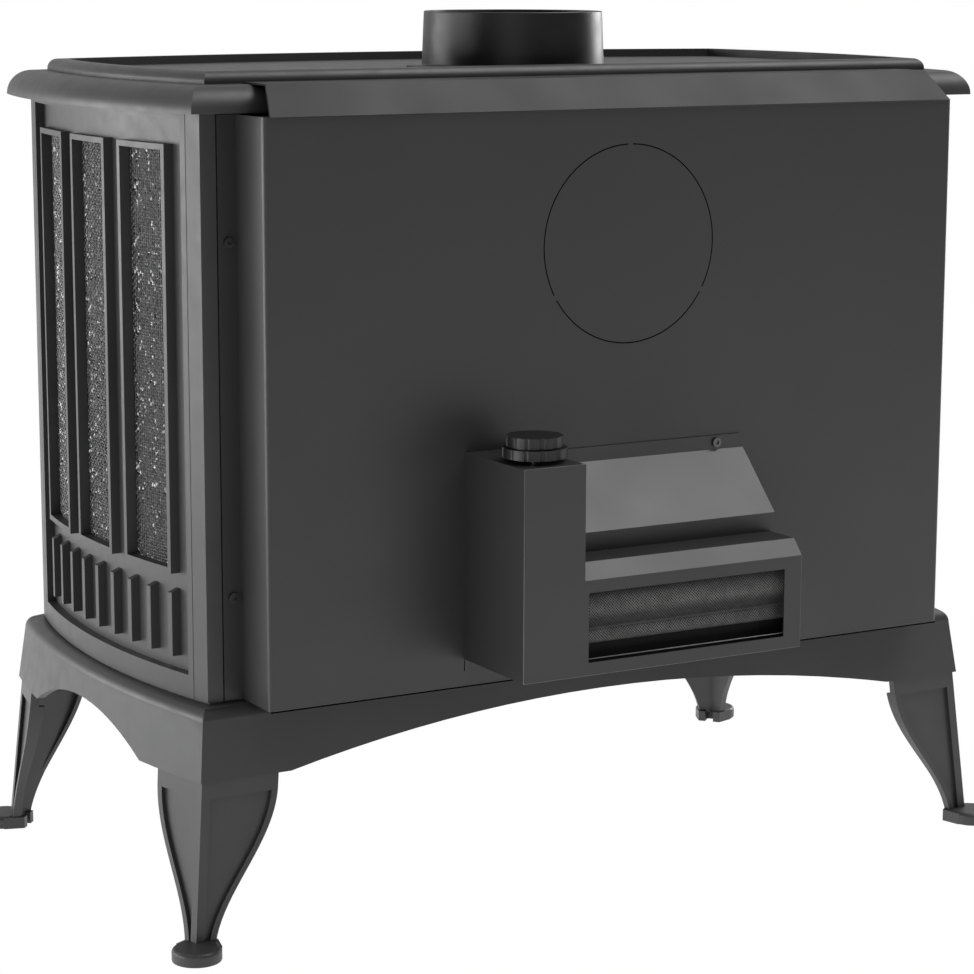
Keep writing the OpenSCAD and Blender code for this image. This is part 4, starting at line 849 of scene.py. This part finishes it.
def intake_cloth(material):
    """Diagonal lattice on the folded screen."""
    low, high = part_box("intake_screen")
    points = screen_profile()
    lengths = [0.0]
    for a, b in zip(points, points[1:]):
        lengths.append(lengths[-1] + math.dist(a, b))
    total = lengths[-1]
    margin = 0.5 * MM
    x0, x1 = low.x + margin, high.x - margin
    rows = int(total / (LATTICE_PITCH / 2))

    def place(x, s):
        """Point, direction downwards and normal at the length s down the profile, short of its end."""
        just_short = total - 1e-9
        s = min(s, just_short)
        k = max(i for i in range(len(points) - 1) if lengths[i] <= s)
        share = (s - lengths[k]) / (lengths[k + 1] - lengths[k])
        step_y = points[k + 1][0] - points[k][0]
        step_z = points[k + 1][1] - points[k][1]
        down = Vector((0, step_y, step_z)).normalized()
        normal = X_AXIS.cross(down)
        if normal.y < 0:
            normal = -normal
        return Vector((x, points[k][0] + step_y * share, points[k][1] + step_z * share)), down, normal

    def wire_path(n, way):
        """The n-th wire of one slant, as far as the screen is wide.

        Wires of the first slant weave over and under; those of the second lie in turn above and below.
        """
        path = []
        for row in range(rows + 1):
            x = x0 + n * LATTICE_PITCH + way * (row * LATTICE_PITCH / 2)
            if x0 <= x <= x1:
                point, down, normal = place(x, row * total / rows)
                over = (n + (row if way > 0 else 0)) % 2
                lift = LATTICE_CRIMP * way * (1 if over else -1)
                path.append((point + normal * lift, (X_AXIS - down * way).normalized(), normal))
        return path

    build = Builder()
    columns = int((x1 - x0) / LATTICE_PITCH)
    spare = int(total / LATTICE_PITCH) + 1
    for way in (1, -1):
        for n in range(-spare, columns + spare + 1):
            path = wire_path(n, way)
            if len(path) > 2:
                build.tube(path, WIRE_SIDES, LATTICE_WIRE, LATTICE_WIRE)
    return build.piece("intake_mesh", "stove", material)


def intake_frame(material):
    """Plain near-black sheet above and below the folded mesh: painted shade where the window shows only its
    dark inside.
    """
    low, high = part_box("intake_screen")
    points = screen_profile()
    top_y, top_z = points[0]
    foot_y, foot_z = points[-1]
    half = 0.5 * MM
    build = Builder()
    build.box((low.x, high.x), (top_y - half, top_y + half), (top_z, high.z))
    build.box((low.x, high.x), (foot_y - half, foot_y + half), (low.z, foot_z))
    return build.piece("intake_surround", "stove", material, smooth=False)


def intake_shade_sheet(material):
    """Near-black sheet behind the mesh, which follows its folds: painted shade of the housing's dark inside.
    """
    low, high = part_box("intake_screen")
    behind = 1.6 * MM
    points = screen_profile(behind)
    build = Builder()
    build.points = [Vector((x, y, z)) for y, z in points for x in (low.x, high.x)]
    build.faces = [(2 * k, 2 * k + 1, 2 * k + 3, 2 * k + 2) for k in range(len(points) - 1)]
    shade_sheet = build.piece("intake_shade_sheet", "stove", material)
    sheet = shade_sheet.modifiers.new("thickness", "SOLIDIFY")
    sheet.thickness = 0.6 * MM
    sheet.offset = 0
    return shade_sheet


# Hem wire: its radius, the bend at its end, its place in the housing and its ends' distance from the sides
HEM_RADIUS = 0.55 * MM
HEM_BEND = 10 * MM
HEM_BEND_RISE = 0.7 * HEM_BEND
HEM_BEND_STEPS = 8
HEM_SETBACK = 7 * MM
HEM_HEIGHT = 12.4 * MM
HEM_START = 6 * MM
HEM_END = 2 * MM


def intake_hem(material):
    """The wire in the screen's lower hem, bent up at its -X end; its pale grey is a painted highlight."""
    housing_low, housing_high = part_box("air_housing")
    low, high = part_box("intake_screen")
    y = housing_high.y - HEM_SETBACK
    z = housing_low.z + HEM_HEIGHT
    start = low.x + HEM_START
    path = []
    for k in range(HEM_BEND_STEPS + 1):
        turn = math.radians(90) * (1 - k / HEM_BEND_STEPS)
        x = start + HEM_BEND * (1 - math.sin(turn))
        path.append((Vector((x, y, z + HEM_BEND_RISE * (1 - math.cos(turn)))), Y_AXIS, Z_AXIS))
    path.append((Vector((high.x - HEM_END, y, z)), Y_AXIS, Z_AXIS))
    build = Builder()
    build.tube(path, BEAD_SIDES, HEM_RADIUS, HEM_RADIUS)
    return build.piece("intake_hem", "stove", material)


# Folded seams of the air housing, drawn as pale beads that paint highlights on the folds: its upright box's
# width, its low box's flat height, and the beads
UPRIGHT_WIDTH = 60 * MM
LOW_FACE_HEIGHT = 83 * MM
SEAM_RADIUS = 0.4 * MM
SEAM_INSET = 0.1 * MM


def housing_seams(material):
    """Fine pale beads along the folds around the two boxes' rear faces, level with those faces: painted
    highlights.
    """
    low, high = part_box("air_housing")
    y = high.y - SEAM_RADIUS
    left, right = high.x - SEAM_INSET, low.x + SEAM_INSET
    foot, top = low.z + SEAM_INSET, high.z - SEAM_INSET
    lines = [
        ((left, foot), (left, top)),
        ((left, top), (high.x - UPRIGHT_WIDTH, top)),
        ((left, foot), (right, foot)),
        ((right, foot), (right, low.z + LOW_FACE_HEIGHT)),
    ]
    build = Builder()
    for line in lines:
        ends = [Vector((x, y, z)) for x, z in line]
        across = (ends[1] - ends[0]).normalized().cross(Y_AXIS)
        build.bead(ends, Y_AXIS, across, SEAM_RADIUS, SEAM_RADIUS)
    return build.piece("housing_seams", "stove", material)


# The shield's knock-out: its radius, the height of its middle above the shield's foot and its tabs
KNOCK_OUT_RADIUS = 87.5 * MM
KNOCK_OUT_RISE = 379.8 * MM
KNOCK_OUT_TAB = 5 * MM
KNOCK_OUT_TABS = 3
KNOCK_OUT_STEPS = 40

# The cut round the knock-out: half its width, half its depth and how far its middle lies in the sheet
CUT_HALF_WIDTH = 0.75 * MM
CUT_HALF_DEPTH = 0.3 * MM
CUT_SINK = 0.2 * MM


def shield_foot_line(build, sink, rise, half_depth, half_height):
    """A bead along the foot of the shield's flat rear face, its middle sunk in and raised by these."""
    low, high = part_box("rear_heat_shield")
    flat = high.y - MM
    face = [corner.co.x for corner in NODES["rear_heat_shield"].data.vertices if corner.co.y > flat]
    ends = [Vector((x, high.y - sink, low.z + rise)) for x in (min(face), max(face))]
    build.bead(ends, Y_AXIS, Z_AXIS, half_depth, half_height)


def shield_gaps(material):
    """Black beads that paint the shade in the gap below the shield and in the cut around its knock-out."""
    low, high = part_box("rear_heat_shield")
    build = Builder()
    shield_foot_line(build, sink=0.3 * MM, rise=-0.5 * MM, half_depth=0.5 * MM, half_height=0.8 * MM)
    middle = Vector((0, high.y - CUT_SINK, low.z + KNOCK_OUT_RISE))
    share = 2 * math.pi / KNOCK_OUT_TABS
    tab = KNOCK_OUT_TAB / 2 / KNOCK_OUT_RADIUS
    for stretch in range(KNOCK_OUT_TABS):
        path = []
        for i in range(KNOCK_OUT_STEPS + 1):
            turn = share * stretch + tab + (share - 2 * tab) * i / KNOCK_OUT_STEPS
            out = Vector((math.sin(turn), 0, math.cos(turn)))
            path.append((middle + out * KNOCK_OUT_RADIUS, out, Y_AXIS))
        build.tube(path, BEAD_SIDES, CUT_HALF_WIDTH, CUT_HALF_DEPTH)
    return build.piece("shield_gaps", "stove", material)


def shield_edge(material):
    """The lit lower edge of the shield's sheet."""
    build = Builder()
    shield_foot_line(build, sink=0.1 * MM, rise=0.9 * MM, half_depth=0.3 * MM, half_height=0.4 * MM)
    return build.piece("shield_edge", "stove", material)


add_camera()
add_stage()
materials = make_materials()
dress_nodes(materials)
soften_nodes()
side_screen(1, materials["woven_mesh"])
side_screen(-1, materials["woven_mesh"])
cloth = intake_cloth(materials["punched_mesh"])
intake_frame(materials["shade_sheet"])
intake_shade_sheet(materials["shade_sheet"])
intake_hem(materials["hem_wire"])
housing_seams(materials["edge_highlight_paint"])
shield_gaps(materials["dark_gap"])
shield_edge(materials["sheet_steel"])
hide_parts("intake_screen")
